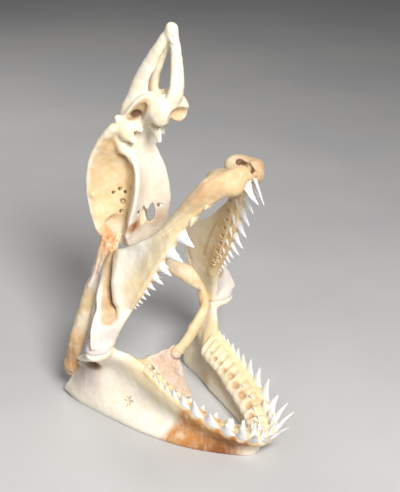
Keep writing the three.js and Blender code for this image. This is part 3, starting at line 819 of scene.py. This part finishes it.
def lower_jaw(half_width, rear_y, chin_stain, scarred, seed):
    """Points, quads and tints of a half of the lower jaw."""
    jaw = LOWER_JAW
    clay = Clay(*LOWER_JAW_ROOM, JAW_GRAIN)
    rim_x, inset, behind, rim_z = jaw["rim"]
    rim = (rim_x, max(rear_y - inset, jaw["joint_rear"][1] + behind), rim_z)
    high = [rim, jaw["joint_rear"], jaw["joint_front"], *lower_row(np.linspace(0, 1, 8))]
    plate = Plate(chin_line(np.linspace(0, 1, len(high)), half_width, rear_y), high)
    web, ridge = jaw["web"], jaw["ridge"]

    def thickness(t, s):
        footing = jaw["foot"] * (1 + hump(t, 0.42, 0.42)) / 2 - web
        return web + footing * hump(s, 0, 0.45) + (ridge - web) * hump(s, 0.95, 0.5)

    def dish(t, s):
        fossa = jaw["fossa"] * hump(s, 0.7, 0.32) * (1 - ease(t, 0.14, 0.34))
        return -jaw["dish"] * hump(s, 0.5, 0.5) * (1 - 0.8 * t) - fossa

    def inner(t, s):
        down = (1 - s) * np.interp(t, plate.t, plate.width)
        wedge = jaw["pad"] * ease(down, -2, 18)
        pad = wedge * (1 - ease(down, jaw["pad_down"] - 3, jaw["pad_down"] + 1)) * ease(t, 0.22, 0.34)
        return thickness(t, s) - dish(t, s) + pad

    clay.add(clay.skin(plate.skin(lambda t, s: thickness(t, s) + dish(t, s), inner)))
    seat = JOINT - [0, 0, JOINT_RISE]
    clay.add(clay.ball(seat, JOINT_RADII), 6)

    # Pad of gum inside the row, a rib for each tooth file, and open sockets between the files
    places = row_places(lower_row, LOWER_CROWNS)
    roots = np.array([root for _, _, root, _ in places])
    inward = np.array([inward_from(root, along) for _, _, root, along in places])
    widths = np.array([width for (_, width), *_ in places])
    gum = roots - inward * 2 - [0, 0, 3.5]
    clay.add(clay.skin(bar(gum, (0, 0, 1), lambda t: (mix(4.5, 2.5, t), mix(3.2, 2, t)))), 3)
    chance = np.random.default_rng(seed)
    for root, into, width in zip(roots, inward, widths):
        length = chance.uniform(0.6, 1.05)
        rib = [plate.under(root, down * length, inner, proud) for down, proud in PAD_RIB]
        clay.add(clay.skin(bar(rib, into, lambda t: (1.3, 0.24 * width * (1 - 0.6 * t)), 24, 16)), 4.5)
    middles = (roots[1:] + roots[:-1]) / 2
    sockets = np.array([plate.under(p, chance.uniform(9, 13), inner, 0.8) for p in middles])[1:11]
    openings = widths[1:11] * chance.uniform(0.7, 1.0, 10)
    for centre, width in zip(sockets, openings):
        clay.carve(clay.ball(centre, (0.22 * width, 0.22 * width, 0.22 * width)), 2.5)

    # Hollow for the closing muscle on the outer side, under the joint
    hollow = np.array(jaw["hollow"], float)
    clay.carve(clay.ball(hollow + [7, 1, 3], (12, 17, 10)), 5)
    clay.carve(clay.ball(hollow, (7, 11, 7)), 3)
    scar = [spline(line, 12) for line in SCAR] if scarred else []
    for line in scar:
        clay.carve(clay.skin(bar(line, (1, 0, 0), lambda t: (1.8, 0.7), 12, 10)), 0.5)
    clay.trim(clay.z - (JOINT[2] - MIDLINE))
    clay.trim(MIDLINE - clay.x)
    clay.trim(-clay.z)

    points, quads = biggest_piece(*clay.surface())
    edge, hollow_shade = edges_and_hollow_shade(clay, points)
    normal = facing(points, quads)
    radial = unit(points[:, :2] - [0, LOWER_ARCH["rear_y"]])
    outer = ease(np.sum(normal[:, :2] * radial, axis=1), -0.1, 0.35)
    row_distance = np.min(np.linalg.norm(points[:, None] - roots[None], axis=2), axis=1)
    socket = np.max([near(points, c, 0.36 * w + 2.0) for c, w in zip(sockets, openings)], axis=0)
    raised = points[:, 2] > FLAT_FOOT
    points = np.where(raised[:, None], roughened(points, quads, seed, SKIN_LUMPS), points)
    # Painted shadow in the hollow under the joint: ochre and umber there, and no chalky edge
    pocket_shadow = near(points, hollow - [2, 1, -1], (17, 18, 13))
    cut = np.zeros(len(points))
    for line in scar:
        cut = np.maximum(cut, near_line(points, line, 0.5, 1.7))
    chin = ease(-points[:, 1] - 0.45 * points[:, 2], 12, 24) * outer * ease(row_distance, 4, 10)
    chin = chin * ease(points[:, 0], 10, 30)
    burnt = ease(-points[:, 1] - 1.2 * points[:, 2], 26, 80)
    # Painted shade: lilac over the dished upper rear of the outer face
    rear_shade = near(points, (86, 96, 48), (34, 50, 44)) * outer
    # Painted shadow: ochre on a hollow of the inner face
    inner_shadow = near(points, (49, 27, 14), (14, 20, 16)) * (1 - outer)
    # Ochre and umber in the sockets are partly their brown and partly painted shade; ochre and lilac from
    # hollow_shade are painted shade
    tints = dict(
        edge=np.maximum(edge, 0.7 * outer * ease(row_distance, 20, 44)) * (1 - pocket_shadow) * (1 - rear_shade),
        straw=1 - ease(row_distance, 8, 34),
        ochre=np.maximum.reduce([hollow_shade * 0.5, socket, pocket_shadow, 0.8 * inner_shadow, cut]),
        pit=np.maximum.reduce([socket * 0.4, 0.7 * pocket_shadow, 0.4 * cut]),
        stain=chin_stain * chin, burnt=chin_stain * chin * burnt, lilac=np.maximum(rear_shade, 0.4 * hollow_shade))
    return points, quads, tints


UPPER_JAW = dict(
    joint_front=(80, 44, 102), cheek_front=(74, 36, 128),
    back=[(89, 69.5, 102), (81, 74, 120), (73.5, 76, 138), (67, 77, 157), (60, 76, 180), (54, 72, 200),
          (53, 54, 210), (53, 33, 224), (52, 5, 248), (50, -18, 275), (46, -39, 302), (38, -48, 319),
          (18, -57, 326), (MIDLINE, -62, 325)],
    edge=6, web=4.5, front=2.5, lobe_radii=(15, 23, 13),
    flange_along=(0, 0.06, 0.12, 0.18, 0.24, 0.3, 0.36),
    flange_across=(0.34, 0.42, 0.54, 0.74, 0.95, 1.1, 1.2),
    flange_height=(28, 26, 21, 14, 8, 4, 0), flange_before=0.42, flange_behind=0.3,
    ridge_along=(0.08, 0.14, 0.2, 0.28, 0.36, 0.44), ridge_height=(0, 6, 10, 10, 5, 0),
    ridge_start=-0.06, ridge_climb=2.35, ridge_before=0.6, ridge_behind=0.1,
    trough=5,
    # The trough's line, whose tan band is partly its colour and partly painted shadow, and a line on the
    # blade's face beside it that carries painted shadow only
    trough_line=[
        (86, 45.5, 139), (77, 54, 152), (70, 61, 162), (65, 66, 175), (61, 69.5, 187), (57, 71, 198)],
    blade_shadow_line=[(62, 60, 201), (68, 55, 184), (75, 47, 162), (81, 43, 140)],
    pad=3.0, pad_up=32, ribs=34)
# The front lobe of each side, how far its outer face is stained, and the slit in the left one
UPPER_SIDES = dict(
    left=dict(lobe=(16, -48, 317), front_stain=0.25, slit=True),
    right=dict(lobe=(15, -53, 311), front_stain=0.45, slit=False))
FRONT_SLIT = [(7.5, -50, 327), (6, -58, 327.5), (3.5, -67, 327), (2, -72, 326.5)]


def upper_plate():
    high = UPPER_JAW["back"]
    low = [UPPER_JAW["joint_front"], UPPER_JAW["cheek_front"], *upper_row(np.linspace(0, 1, len(high) - 2))]
    return Plate(low, high)


def ridge_line(t):
    """How far across the upper jaw the ridge in front of its trough lies."""
    return UPPER_JAW["ridge_start"] + UPPER_JAW["ridge_climb"] * t


def upper_swell(t, s):
    """What the outer face adds: a flange rising towards the joint, a ridge, and the trough between them."""
    jaw = UPPER_JAW

    def fold(form, middle, bow):
        """A fold along a line across the plate, with a slope before it and another behind."""
        height = np.interp(t, jaw[form + "_along"], jaw[form + "_height"])
        before = ease(s, np.maximum(middle - jaw[form + "_before"], 0.02), middle) ** bow
        return height * np.minimum(before, 1 - ease(s, middle, middle + jaw[form + "_behind"]))

    crest = np.interp(t, jaw["flange_along"], jaw["flange_across"])
    line = ridge_line(t)
    rut = jaw["trough"] * hump(s, line + 0.2, 0.2) * ease(t, 0.12, 0.2) * (1 - ease(t, 0.3, 0.42))
    return np.maximum(fold("flange", crest, 1.3), fold("ridge", line, 1)) - rut


def upper_jaw(lobe, front_stain, slit, seed):
    """Points, quads and tints of a half of the upper jaw."""
    jaw = UPPER_JAW
    clay = Clay(*UPPER_JAW_ROOM, JAW_GRAIN)
    plate = upper_plate()

    def thickness(t, s):
        edges = hump(s, 0, 0.4) + hump(s, 1, 0.4)
        return jaw["web"] + jaw["front"] * t + (jaw["edge"] - jaw["web"]) * edges

    def inner(t, s):
        up = s * np.interp(t, plate.t, plate.width)
        pad = jaw["pad"] * (1 - ease(up, jaw["pad_up"] - 5, jaw["pad_up"] + 2)) * ease(t, 0.2, 0.34)
        return thickness(t, s) + pad

    clay.add(clay.skin(plate.skin(lambda t, s: thickness(t, s) + upper_swell(t, s), inner)))
    clay.add(clay.ball(JOINT + [0, 0, JOINT_RISE], JOINT_RADII), 6)
    clay.add(clay.ball(np.array(lobe, float), jaw["lobe_radii"]), 8)
    slit_line = spline(FRONT_SLIT, 16)
    if slit:
        clay.carve(clay.skin(bar(slit_line, (0, 0.4, 1), lambda t: (6, 1.6 + 2.8 * hump(t, 0.5, 0.6)))), 1.0)

    # Rounded rear crest, and the thick white roll along the upper edge
    crest = [np.add(p, (0.5, 0, 0)) for p in jaw["back"][:6]]
    clay.add(clay.skin(bar(crest, (0, 1, 0), lambda t: (mix(4, 5, t), mix(6, 5.5, t)))), 3)

    # Gum inside and outside the row; the pad inside it has fine ribs up to a ridge, and pits between them
    places = row_places(upper_row, UPPER_CROWNS)
    roots = np.array([root for _, _, root, _ in places])
    lift, out = (np.array(v) for v in zip(*[plate.beside(root) for root in roots]))
    inner_gum, outer_gum = roots + lift * 9 - out * 4.5, roots + lift * 3 + out * 2
    clay.add(clay.skin(bar(inner_gum, (0, 1, 1), lambda t: (mix(8, 3.5, t), mix(5, 3, t)))), 5)
    clay.add(clay.skin(bar(outer_gum, (0, 1, 1), lambda t: (mix(4, 2.2, t), mix(3.2, 2, t)))), 3)
    line, _ = even(upper_row(np.linspace(1, 0, ROW_STEPS)), np.linspace(0.12, 0.9, jaw["ribs"]))
    pits = []
    for k, root in enumerate(line):
        up, away = plate.beside(root)
        room = plate.width[np.argmin(np.linalg.norm(plate.low - root, axis=1))] - 8
        reach = min(mix(34, 14, k / (len(line) - 1)), room)
        face = jaw["web"] + jaw["front"] * 0.5 + jaw["pad"]
        rib = [root + up * 6 - away * (face + 1), root + up * reach * 0.5 - away * (face + 0.8),
               root + up * reach - away * (face - 1.5)]
        clay.add(clay.skin(bar(rib, away, lambda t: (1.7, 1.7 * (1 - 0.4 * t)), 20, 12)), 2)
        if k % 3 == 1:
            pits.append(root + up * (6 + 0.28 * reach) - away * (face + 1.5))
    for centre in pits:
        clay.carve(clay.ball(centre, (2.6, 2.6, 1.8)), 1.5)
    clay.trim((JOINT[2] + MIDLINE) - clay.z)
    clay.trim(MIDLINE - clay.x)

    points, quads = biggest_piece(*clay.surface())
    edge, hollow_shade = edges_and_hollow_shade(clay, points)
    normal = facing(points, quads)
    middles = ((plate.low + plate.high) / 2)[::4]
    station = np.argmin(np.linalg.norm(points[:, None] - middles[None], axis=2), axis=1) * 4
    outer = ease(np.sum(normal * plate.outward[np.minimum(station, len(plate.t) - 1)], axis=1), -0.2, 0.3)
    row_distance = np.min(np.linalg.norm(points[:, None] - line[None], axis=2), axis=1)
    front = 1 - ease(points[:, 1], -46, -14)
    # Painted shadow in the trough, partly its own tan, and painted shadow along the blade's edge
    trough = outer * near_line(points, spline(jaw["trough_line"], 40), 6, 12)
    rut = np.maximum(trough, 0.8 * near_line(points, spline(jaw["blade_shadow_line"], 30), 4, 9))
    # Painted shade: umber in the slit
    slit_shade = slit * near_line(points, slit_line, 2.4, 5.5)
    browned = slit * near(points, (3, -72, 322), (13, 17, 16))
    pad_shade = 0.8 * (1 - outer) * (1 - ease(row_distance, 10, 36))
    # Painted shade: lilac on the low part of the outer face, near the joint
    low_wing_shade = (1 - ease(points[:, 2], 120, 142)) * outer
    points = roughened(points, quads, seed, SKIN_LUMPS)
    tints = dict(
        edge=np.maximum(edge, 0.7 * outer * (1 - front) * ease(row_distance, 16, 34)) * (1 - rut),
        straw=np.maximum(1 - ease(row_distance, 8, 30), 0.9 * (1 - outer) * (1 - ease(row_distance, 30, 44))),
        # Ochre and lilac from hollow_shade and rut are painted shade, the trough's part of it partly its own
        # tan
        ochre=np.maximum.reduce([0.6 * hollow_shade, pad_shade, rut, browned, 0.7 * front * outer]),
        # Painted shade: umber in the pad's pits and in the slit
        pit=np.maximum(np.max([near(points, c, 4.0) for c in pits], axis=0) * 0.4, slit_shade),
        stain=front * outer * ease(row_distance, 10, 22) * front_stain,
        lilac=np.maximum.reduce([0.45 * rut, low_wing_shade * 0.8, 0.3 * hollow_shade]))
    return points, quads, tints


# Half-sections of the braincase, as in the solid: height, roof, crest, wall of the orbit, shelf, keel
BRAINCASE = [
    (184, 106, (16, 104), (14, 97), (13, 90), 90), (192, 117, (33, 108), (24, 97), (22, 84), 85),
    (206, 125, (45, 111), (26, 97), (28, 80), 83), (225, 133, (47, 121), (19, 99), (28, 75), 80),
    (250, 139, (47, 129), (15, 102), (25, 71), 78), (280, 137, (47, 127), (13, 103), (20, 74), 79),
    (298, 131, (46, 121), (14, 101), (17, 84), 84), (317, 120, (43, 111), (17, 98), (13, 87), 85),
    (332, 108, (39, 99), (22, 90), (13, 80), 78), (344, 98, (32, 89), (26, 80), (16, 69), 67),
    (356, 88, (30, 79), (26, 68), (17, 55), 51), (367, 79, (28, 71), (22, 58), (15, 46), 42),
    (375, 70, (17, 65), (14, 57), (10, 50), 47),
]
CREST_HALF_WIDTH, CREST_DEPTH, SHELF_DEPTH = 47, 9, 6
SNOUT_TIP = (0, 46, 446)
LATERAL_BAR = [
    (19, 88, 330), (15, 88, 350), (11, 85, 366), (8.5, 81, 384), (6.5, 71, 404), (4.5, 59, 424), SNOUT_TIP]
MEDIAL_BAR = [(0, 48, 360), (0, 38, 378), (0, 37, 398), (0, 39.5, 424), SNOUT_TIP]
# Nerve openings in the wall and floor of the orbit: place and radius
FORAMINA = [
    ((17, 102, 239), 2.9), ((24, 110, 249), 1.3), ((18, 106, 253), 1.4), ((14, 101, 250), 1.1),
    ((17, 88, 260), 1.2), ((20, 101, 228), 1.5), ((15, 76, 234), 1.6),
]
NOSTRIL = np.array([4.0, 34.0, 353.0])
NERVE_CANAL = [(31, 76, 347), (31, 67, 356), (31, 58, 366)]


def section_line(part, aside, back, heights):
    """A line through the same point of some half-sections, moved aside and back."""
    places = {row[0]: row[part] for row in BRAINCASE}
    return [(places[z][0] + aside, places[z][1] + back, z) for z in heights]


# What is worked on both sides of the braincase, in order: kind, path or place, radius or radii, blend
SIDE_FORMS = [
    # Crest over the orbit and shelf under it
    ("ridge", section_line(2, -4, -4, (192, 206, 225, 250, 280, 298, 317, 332)), 3.6, 6),
    ("ridge", section_line(4, -2, 3, (206, 225, 250, 280, 298)), 2.0, 5),
    # Front wall of the orbit, its brace, and the step over its lower end
    ("bump", (21, 98, 311), (8, 8, 13), 7),
    ("ridge", [(35, 100, 328), (28, 99, 316), (20, 94, 303), (16, 87, 292)], 2.4, 6),
    ("ridge", [(47, 118, 247), (44, 113, 251), (38, 109, 252.5)], 2.8, 5),
    # Process in front of the orbit
    ("bump", (33, 91, 343), (4, 4, 4), 4),
    ("bump", (25, 88, 330), (8, 9, 13), 6),
    ("ridge", [(25, 85, 329), (23, 81, 322), (20, 79, 317)], 3.2, 5),
    # Nasal capsule
    ("bump", (13, 54, 359), (11, 19, 14), 6),
    ("bump", (12, 46, 350), (8, 8, 7), 6),
]
SIDE_HOLLOWS = [
    # Knob at the nape, the orbit and the hollow at its lower end
    ("bump", (9, 95, 187), (6, 6, 6), 4),
    ("pit", (60, 103, 268), (42, 16, 42), 5),
    ("pit", (50, 98, 219), (16, 11, 13), 6),
]
CANAL_FLOOR = ("pit", (23, 72, 350), (7, 5, 5), 2)
FLOOR_WINDOW = [(2, 78, 230), (48, 124, 199)]
FLAP = [(-9, 60, 342), (-10, 54, 333), (-11, 49, 323)]
SEPTUM = [(-15, 50, 356), (0, 47, 358), (15, 48, 356)]
# Hollows on the midline: place, radii and blend
MIDDLE_HOLLOWS = [
    (NOSTRIL, (16, 11, 9), 2.5), ((0, 62, 380), (14, 12, 16), 4), ((0, 102, 180), (7, 6, 9), 3),
    ((-4, 41, 437), 1.5, 1), ((-5, 41, 429), 1.5, 1), ((-3, 40, 420), 1.5, 1),
]


def braincase_skin():
    controls = []
    for z, roof, crest, wall, shelf, keel in BRAINCASE:
        half = [
            (crest[0] * 0.55, mix(roof, crest[1], 0.25)), crest,
            (crest[0] - 2, crest[1] - CREST_DEPTH * crest[0] / CREST_HALF_WIDTH), wall,
            (shelf[0] - 1, shelf[1] + SHELF_DEPTH), shelf]
        ring = [(0, roof), *half, (0, keel), *[(-x, y) for x, y in reversed(half)]]
        controls.append([(x, y, z) for x, y in ring])
    controls = np.array(controls, float)
    columns = np.stack([spline(controls[:, k], 110) for k in range(controls.shape[1])], axis=1)
    return loft([spline(ring, 120, closed=True) for ring in columns])


def work(clay, side, kind, place, size, blend):
    """Adds a ridge or a bump to one side of the clay, or carves a pit."""
    place = np.asarray(place, float) * [side, 1, 1]
    if kind == "ridge":
        clay.add(clay.skin(bar(place, (0.3, 1, 0.2), lambda t: (size, size))), blend)
    elif kind == "bump":
        clay.add(clay.ball(place, size), blend)
    else:
        clay.carve(clay.ball(place, size), blend)


def lateral_size(t):
    return mix(16, 4, t ** 0.85), mix(6.5, 3.5, t)


def canal_size(t):
    return 11, 6.0 * np.sqrt(1 - 0.8 * (2 * t - 1) ** 2)


def braincase(seed):
    """Points, quads and tints of the braincase with the nasal capsules and the bars of the snout."""
    clay = Clay(*BRAINCASE_ROOM, BRAINCASE_GRAIN)
    clay.add(clay.skin(braincase_skin()))
    for side in (1, -1):
        flip = [side, 1, 1]
        for form in SIDE_FORMS:
            work(clay, side, *form)
        lateral = np.asarray(LATERAL_BAR, float) * flip
        clay.add(clay.skin(bar(lateral, (0.3 * side, 1, 0.2), lateral_size)), 4)
        for form in SIDE_HOLLOWS:
            work(clay, side, *form)
        canal_line = np.asarray(NERVE_CANAL, float) * flip
        clay.carve(clay.skin(bar(canal_line, (1, 0, 0), canal_size)), 2.5)
        work(clay, side, *CANAL_FLOOR)
        for centre, radius in FORAMINA:
            work(clay, side, "pit", centre, (7 if radius > 1.8 else 5, radius, radius), 1)
        window = np.asarray(FLOOR_WINDOW, float) * flip
        clay.carve(clay.skin(bar(window, (0, 0, 1), lambda t: (11, 5.5))), 2)
    clay.add(clay.skin(bar(MEDIAL_BAR, (1, 0, 0), lambda t: (mix(11.5, 4, t), mix(8, 4.5, t)))), 5)
    clay.add(clay.ball(np.array([0.0, 46, 440.5]), (5, 5, 9.5)), 5)
    # Ragged scraps along the inner edges of the bars
    chance = np.random.default_rng(seed)
    medial_edge = spline(MEDIAL_BAR, 60)[8:44] + [-3, 4, 0]
    lateral_edge = spline(LATERAL_BAR, 60)[20:46] * [-1, 1, 1] + [2, -6, 0]
    for place in np.vstack([medial_edge, lateral_edge]):
        if chance.uniform() < 0.6:
            clay.add(clay.ball(place + chance.normal(0, 1.2, 3), chance.uniform(0.9, 1.7, 3)), 1.2)
    clay.add(clay.skin(bar(FLAP, (0, 1, 0.6), lambda t: (mix(9, 2.5, t), mix(3, 1.2, t)))), 3)
    clay.add(clay.skin(bar(SEPTUM, (0, 1, 0), lambda t: (11, 9))), 5)
    for centre, radii, blend in MIDDLE_HOLLOWS:
        clay.carve(clay.ball(np.array(centre, float), radii), blend)

    points, quads = biggest_piece(*clay.surface())
    edge, hollow_shade = edges_and_hollow_shade(clay, points)
    folded = np.stack([np.abs(points[:, 0]), points[:, 1], points[:, 2]], -1)
    # Painted shade: umber in the nerve openings
    hole_shade = np.max([near(folded, c, r + 2.2) for c, r in FORAMINA], axis=0)
    # Ochre inside the nerve canal, partly its brown and partly painted shade
    canal = near_line(folded, spline(np.subtract(NERVE_CANAL, (6, 0, 0)), 20), 5, 9)
    # Painted shade: ochre in the hollow of the nostrils
    nostril_shade = near(points, NOSTRIL + [2, 7, -2], (26, 13, 17))
    heights = [row[0] for row in BRAINCASE]
    crest_y = np.interp(folded[:, 2], heights, [row[2][1] for row in BRAINCASE])
    shelf_y = np.interp(folded[:, 2], heights, [row[4][1] for row in BRAINCASE])
    orbit = ease(crest_y - folded[:, 1], 4, 8) * ease(folded[:, 1] - shelf_y, 6, 13)
    orbit = orbit * ease(folded[:, 2], 204, 222) * (1 - ease(folded[:, 2], 316, 330))
    base = near(points, (-21, 78, 217), (15, 11, 10))
    torn = near(folded, (38, 106, 200), (17, 17, 24))
    below_window = near(folded, (14, 80, 218), (22, 14, 18))
    # Painted shade: lilac on the ventral face of the braincase
    floor = (1 - ease(points[:, 1], 78, 92)) * (1 - ease(points[:, 2], 300, 330))
    points = roughened(points, quads, seed, [(14, 0.6), (5, 0.3), (2.4, 0.1)])
    tints = dict(
        edge=edge, straw=np.maximum(orbit, 0.5 * hollow_shade),
        ochre=np.maximum.reduce([0.35 * hollow_shade, canal, nostril_shade, 0.5 * orbit, 0.7 * below_window]),
        # Painted shade: umber in the nerve openings and at the bottom of the nerve canal
        pit=np.maximum(hole_shade * 0.9, near(folded, (22, 75, 351), (10, 10, 9))),
        stain=np.maximum(base, torn), burnt=base * 0.8, lilac=floor * 0.45)
    return points, quads, tints


# Hanging bars from the braincase to the jaw joint, their knots, the strands beside the upper end of the
# right one, and the tissue that joins it to the braincase
HYOMANDIBULA = dict(
    right=[(38, 98, 196), (50, 100, 165), (64, 102, 135), (78, 101, 106), (88, 100, 82), (85, 112, 54),
           (82, 121, 34)],
    left=[(38, 98, 194), (42, 97, 168), (49, 90, 146), (60, 77, 133), (72, 66, 122), (86, 64, 107)])
HANGER_KNOTS = dict(right=[(0.05, 9), (0.62, 7.5), (0.86, 8)], left=[(0.08, 9)])
HANGER_STRANDS = dict(
    right=[((7, -5, 3), 0.2), ((4, 6, 4), 0.24), ((-4, -7, 2), 0.16), ((8, 1, 2), 0.28)], left=[])
TISSUE_TOP = [
    [(42, 109, 209), (43, 104, 199), (45, 101, 186)], [(34, 106, 207), (37, 101, 198), (40, 97, 184)],
    [(26, 99, 204), (33, 95, 195), (38, 92, 182)]]
HANGER_SIDE = dict(right=(0, 1, 0), left=(0, 0.3, 1))
CERATOHYAL = dict(
    right=[(82, 64, 94), (66, 57, 76), (52, 54, 64), (36, 53, 54), (18, 52, 49)],
    left=[(80, 66, 104), (62, 44, 98), (50, 40, 88), (35, 40, 71), (18, 40, 57)])


def clay_round(path, margin):
    path = np.asarray(path, float)
    return Clay(path.min(0) - margin, path.max(0) + margin, BAR_GRAIN)


def knotted_bar(path, side, sizes, knots, seed, lumps, strands=()):
    """A bar with swellings, pairs of a share of its length and a radius, and strands beside its upper end."""
    clay = clay_round(path, 22)
    clay.add(clay.skin(bar(path, side, sizes)))
    line = spline(path, ROW_STEPS)
    last = ROW_STEPS - 1
    chance = np.random.default_rng(seed)
    for share, radius in knots:
        centre = line[int(share * last)] + chance.uniform(-3, 3, 3)
        clay.add(clay.ball(centre, radius * chance.uniform(0.8, 1.2, 3)), 6)
    for top in TISSUE_TOP if strands else []:
        clay.add(clay.skin(bar(top, (0, 1, 0), lambda t: (mix(3, 4, t), mix(2.4, 3, t)), 24, 16)), 2)
    for offset, reach in strands:
        strand = line[:int(reach * last)] + np.asarray(offset, float)
        strand = strand + 1.2 * np.stack([speckle(strand, 9, seed + k) for k in range(3)], -1)
        clay.add(clay.skin(bar(strand[::6], (0, 1, 0), lambda t: (mix(3.4, 1.2, t), mix(3, 1, t)))), 3)
    points, quads = biggest_piece(*clay.surface())
    edge, hollow_shade = edges_and_hollow_shade(clay, points)
    points = roughened(points, quads, seed, lumps)
    none = np.zeros(len(points))
    # Ochre in the hollows is painted shade
    return points, quads, dict(edge=edge, straw=none, ochre=hollow_shade, pit=none, stain=none, lilac=none)


def hanging_bar(label, seed):
    """A hanging bar: amber tissue at the ends of the right one, and a lilac stretch between."""
    points, quads, tints = knotted_bar(
        HYOMANDIBULA[label], HANGER_SIDE[label], lambda t: (mix(12, 9, t), mix(8, 6, t)),
        HANGER_KNOTS[label], seed, [(12, 0.9), (5, 0.5), (2.2, 0.15)], HANGER_STRANDS[label])
    height = points[:, 2]
    ends = np.maximum(ease(height, 176, 194), 0.8 * (1 - ease(height, 84, 112)))
    tints["stain"] = ends if label == "right" else np.full(len(height), 0.12)
    tints["lilac"] = hump(height, 160, 30) * (0.9 if label == "right" else 0.3)
    return points, quads, tints


def tongue_bar(label, seed):
    """The straw-coloured bar between the jaw joint and the tongue plate."""
    points, quads, tints = knotted_bar(
        CERATOHYAL[label], (0, 0, 1), lambda t: (mix(8, 7, t), mix(6.5, 5.5, t)), [(1.0, 6)], seed,
        [(12, 0.7), (5, 0.35), (2.2, 0.1)])
    tints["straw"] = np.ones(len(points))
    # A steady ochre tone, with more ochre in the hollows as painted shade
    tints["ochre"] = 0.35 + 0.5 * tints["ochre"]
    return points, quads, tints


def tongue_plate(seed):
    """The flat tongue cartilage with its ragged skin and a small knob at the rear."""
    rear, front = np.array([0.0, 52, 58]), np.array([0.0, 6, 16])
    path = [rear, (rear + front) / 2 - [0, 0, 3], front]
    clay = clay_round(path, 32)
    clay.add(clay.skin(bar(path, (1, 0, 0), lambda t: (mix(22, 9, t), 3.5))))
    clay.add(clay.ball(np.array([0.0, 60, 59]), (5, 4, 5)), 3)
    clay.add(clay.ball(np.array([-17.0, 55, 52]), (7, 6, 5)), 4)
    clay.add(clay.ball(np.array([14.0, 40, 55]), (7, 6, 5)), 4)
    points, quads = biggest_piece(*clay.surface())
    edge, hollow_shade = edges_and_hollow_shade(clay, points)
    points = roughened(points, quads, seed, [(9, 1.6), (4, 0.8), (2, 0.25)])
    # Ochre in the hollows is painted shade
    return points, quads, dict(edge=edge, ochre=hollow_shade)


cartilage = cartilage_finish()
tissue = tissue_finish()
tongue_skin = tongue_finish()
enamel = enamel_finish()
crowns = crown_nodes(enamel)

place_piece("braincase", braincase(11), cartilage, "chondrocranium")
for label, side, seed in (("left", 1, 20), ("right", -1, 40)):
    upper_node, lower_node = f"palatoquadrate_{label}", f"meckels_cartilage_{label}"
    upper = upper_jaw(**UPPER_SIDES[label], seed=seed)
    lower = lower_jaw(**CHIN_SIDES[label], seed=seed + 4)
    place_piece(f"upper_jaw_{label}", upper, cartilage, upper_node, side)
    place_piece(f"lower_jaw_{label}", lower, cartilage, lower_node, side)
    tooth_piece(f"upper_teeth_{label}", upper_seats(upper_plate(), label), side, crowns, upper_node, seed + 8)
    tooth_piece(f"lower_teeth_{label}", lower_seats(), side, crowns, lower_node, seed + 9)
    hanger, rod = hanging_bar(label, seed + 10), tongue_bar(label, seed + 14)
    place_piece(f"hanging_bar_{label}", hanger, tissue, f"hyomandibula_{label}", side)
    place_piece(f"tongue_bar_{label}", rod, cartilage, f"ceratohyal_{label}", side)
place_piece("tongue_plate", tongue_plate(70), tongue_skin, "basihyal")


# Floor, light and camera

def floor_finish():
    f = Finish("pale_paper")
    cloud = f.noise(300, 3)
    colour = f.blend(f.between(cloud, 0.3, 0.7), rgb(0.50, 0.50, 0.51), rgb(0.54, 0.54, 0.54))
    return f.close(colour, 0.75, f.bump(f.noise(1.5, 2), 0.05, 0.1), {"Specular IOR Level": 0.2})


def area_light(name, place, target, size, power, colour):
    data = bpy.data.lights.new(name, "AREA")
    data.shape = "DISK"
    data.size = size
    data.energy = power
    data.color = colour
    light = bpy.data.objects.new(name, data)
    light.location = place
    light.rotation_mode = "QUATERNION"
    light.rotation_quaternion = (Vector(target) - Vector(place)).to_track_quat("-Z", "Y")
    bpy.context.scene.collection.objects.link(light)


floor_mesh = bpy.data.meshes.new("floor")
FLOOR_HALF = 6.0
floor_corners = [(x * FLOOR_HALF, y * FLOOR_HALF, 0) for x, y in ((-1, -1), (1, -1), (1, 1), (-1, 1))]
floor_mesh.from_pydata(floor_corners, [], [(0, 1, 2, 3)])
floor_mesh.materials.append(floor_finish())
floor = bpy.data.objects.new("floor", floor_mesh)
bpy.context.scene.collection.objects.link(floor)

skull_middle = (0.0, 0.0, 0.22)
area_light("key", (-0.6, -1.1, 1.3), skull_middle, 0.6, 44, (1.0, 0.98, 0.95))
area_light("fill", (1.2, -0.9, 0.6), skull_middle, 1.2, 2, (0.95, 0.97, 1.0))
area_light("rim", (0.2, 1.3, 1.2), skull_middle, 0.8, 9, (1.0, 0.98, 0.95))

world = bpy.data.worlds.new("soft_room")
world.use_nodes = True
background = world.node_tree.nodes["Background"]
background.inputs["Color"].default_value = rgb(0.62, 0.63, 0.65)
background.inputs["Strength"].default_value = 0.1
bpy.context.scene.world = world
bpy.context.scene.view_settings.view_transform = "Standard"

# The photo's view: turned to the animal's right front, from above, at arm's length and more
CAMERA_TURN, CAMERA_RISE, CAMERA_ROLL = -0.78904, 0.453786, 0.038717
CAMERA_TARGET = np.array([-0.84, -6.96, 218.73])
CAMERA_DISTANCE = 1150.0
CAMERA_LENS = 36 * 1069.5 / 492


def photo_camera():
    turn, rise, roll = CAMERA_TURN, CAMERA_RISE, CAMERA_ROLL
    back = np.array([math.sin(turn) * math.cos(rise), -math.cos(turn) * math.cos(rise), math.sin(rise)])
    level = np.array([math.cos(turn), math.sin(turn), 0])
    upright = np.cross(back, level)
    right = level * math.cos(roll) + upright * math.sin(roll)
    up = upright * math.cos(roll) - level * math.sin(roll)
    place = (CAMERA_TARGET + back * CAMERA_DISTANCE + PLACE) * MM
    data = bpy.data.cameras.new("photo_view")
    data.lens = CAMERA_LENS
    data.sensor_width = 36
    data.dof.use_dof = False
    camera = bpy.data.objects.new("photo_view", data)
    matrix = Matrix.Identity(4)
    for row in range(3):
        matrix[row] = (right[row], up[row], back[row], place[row])
    camera.matrix_world = matrix
    bpy.context.scene.collection.objects.link(camera)
    bpy.context.scene.camera = camera


photo_camera()
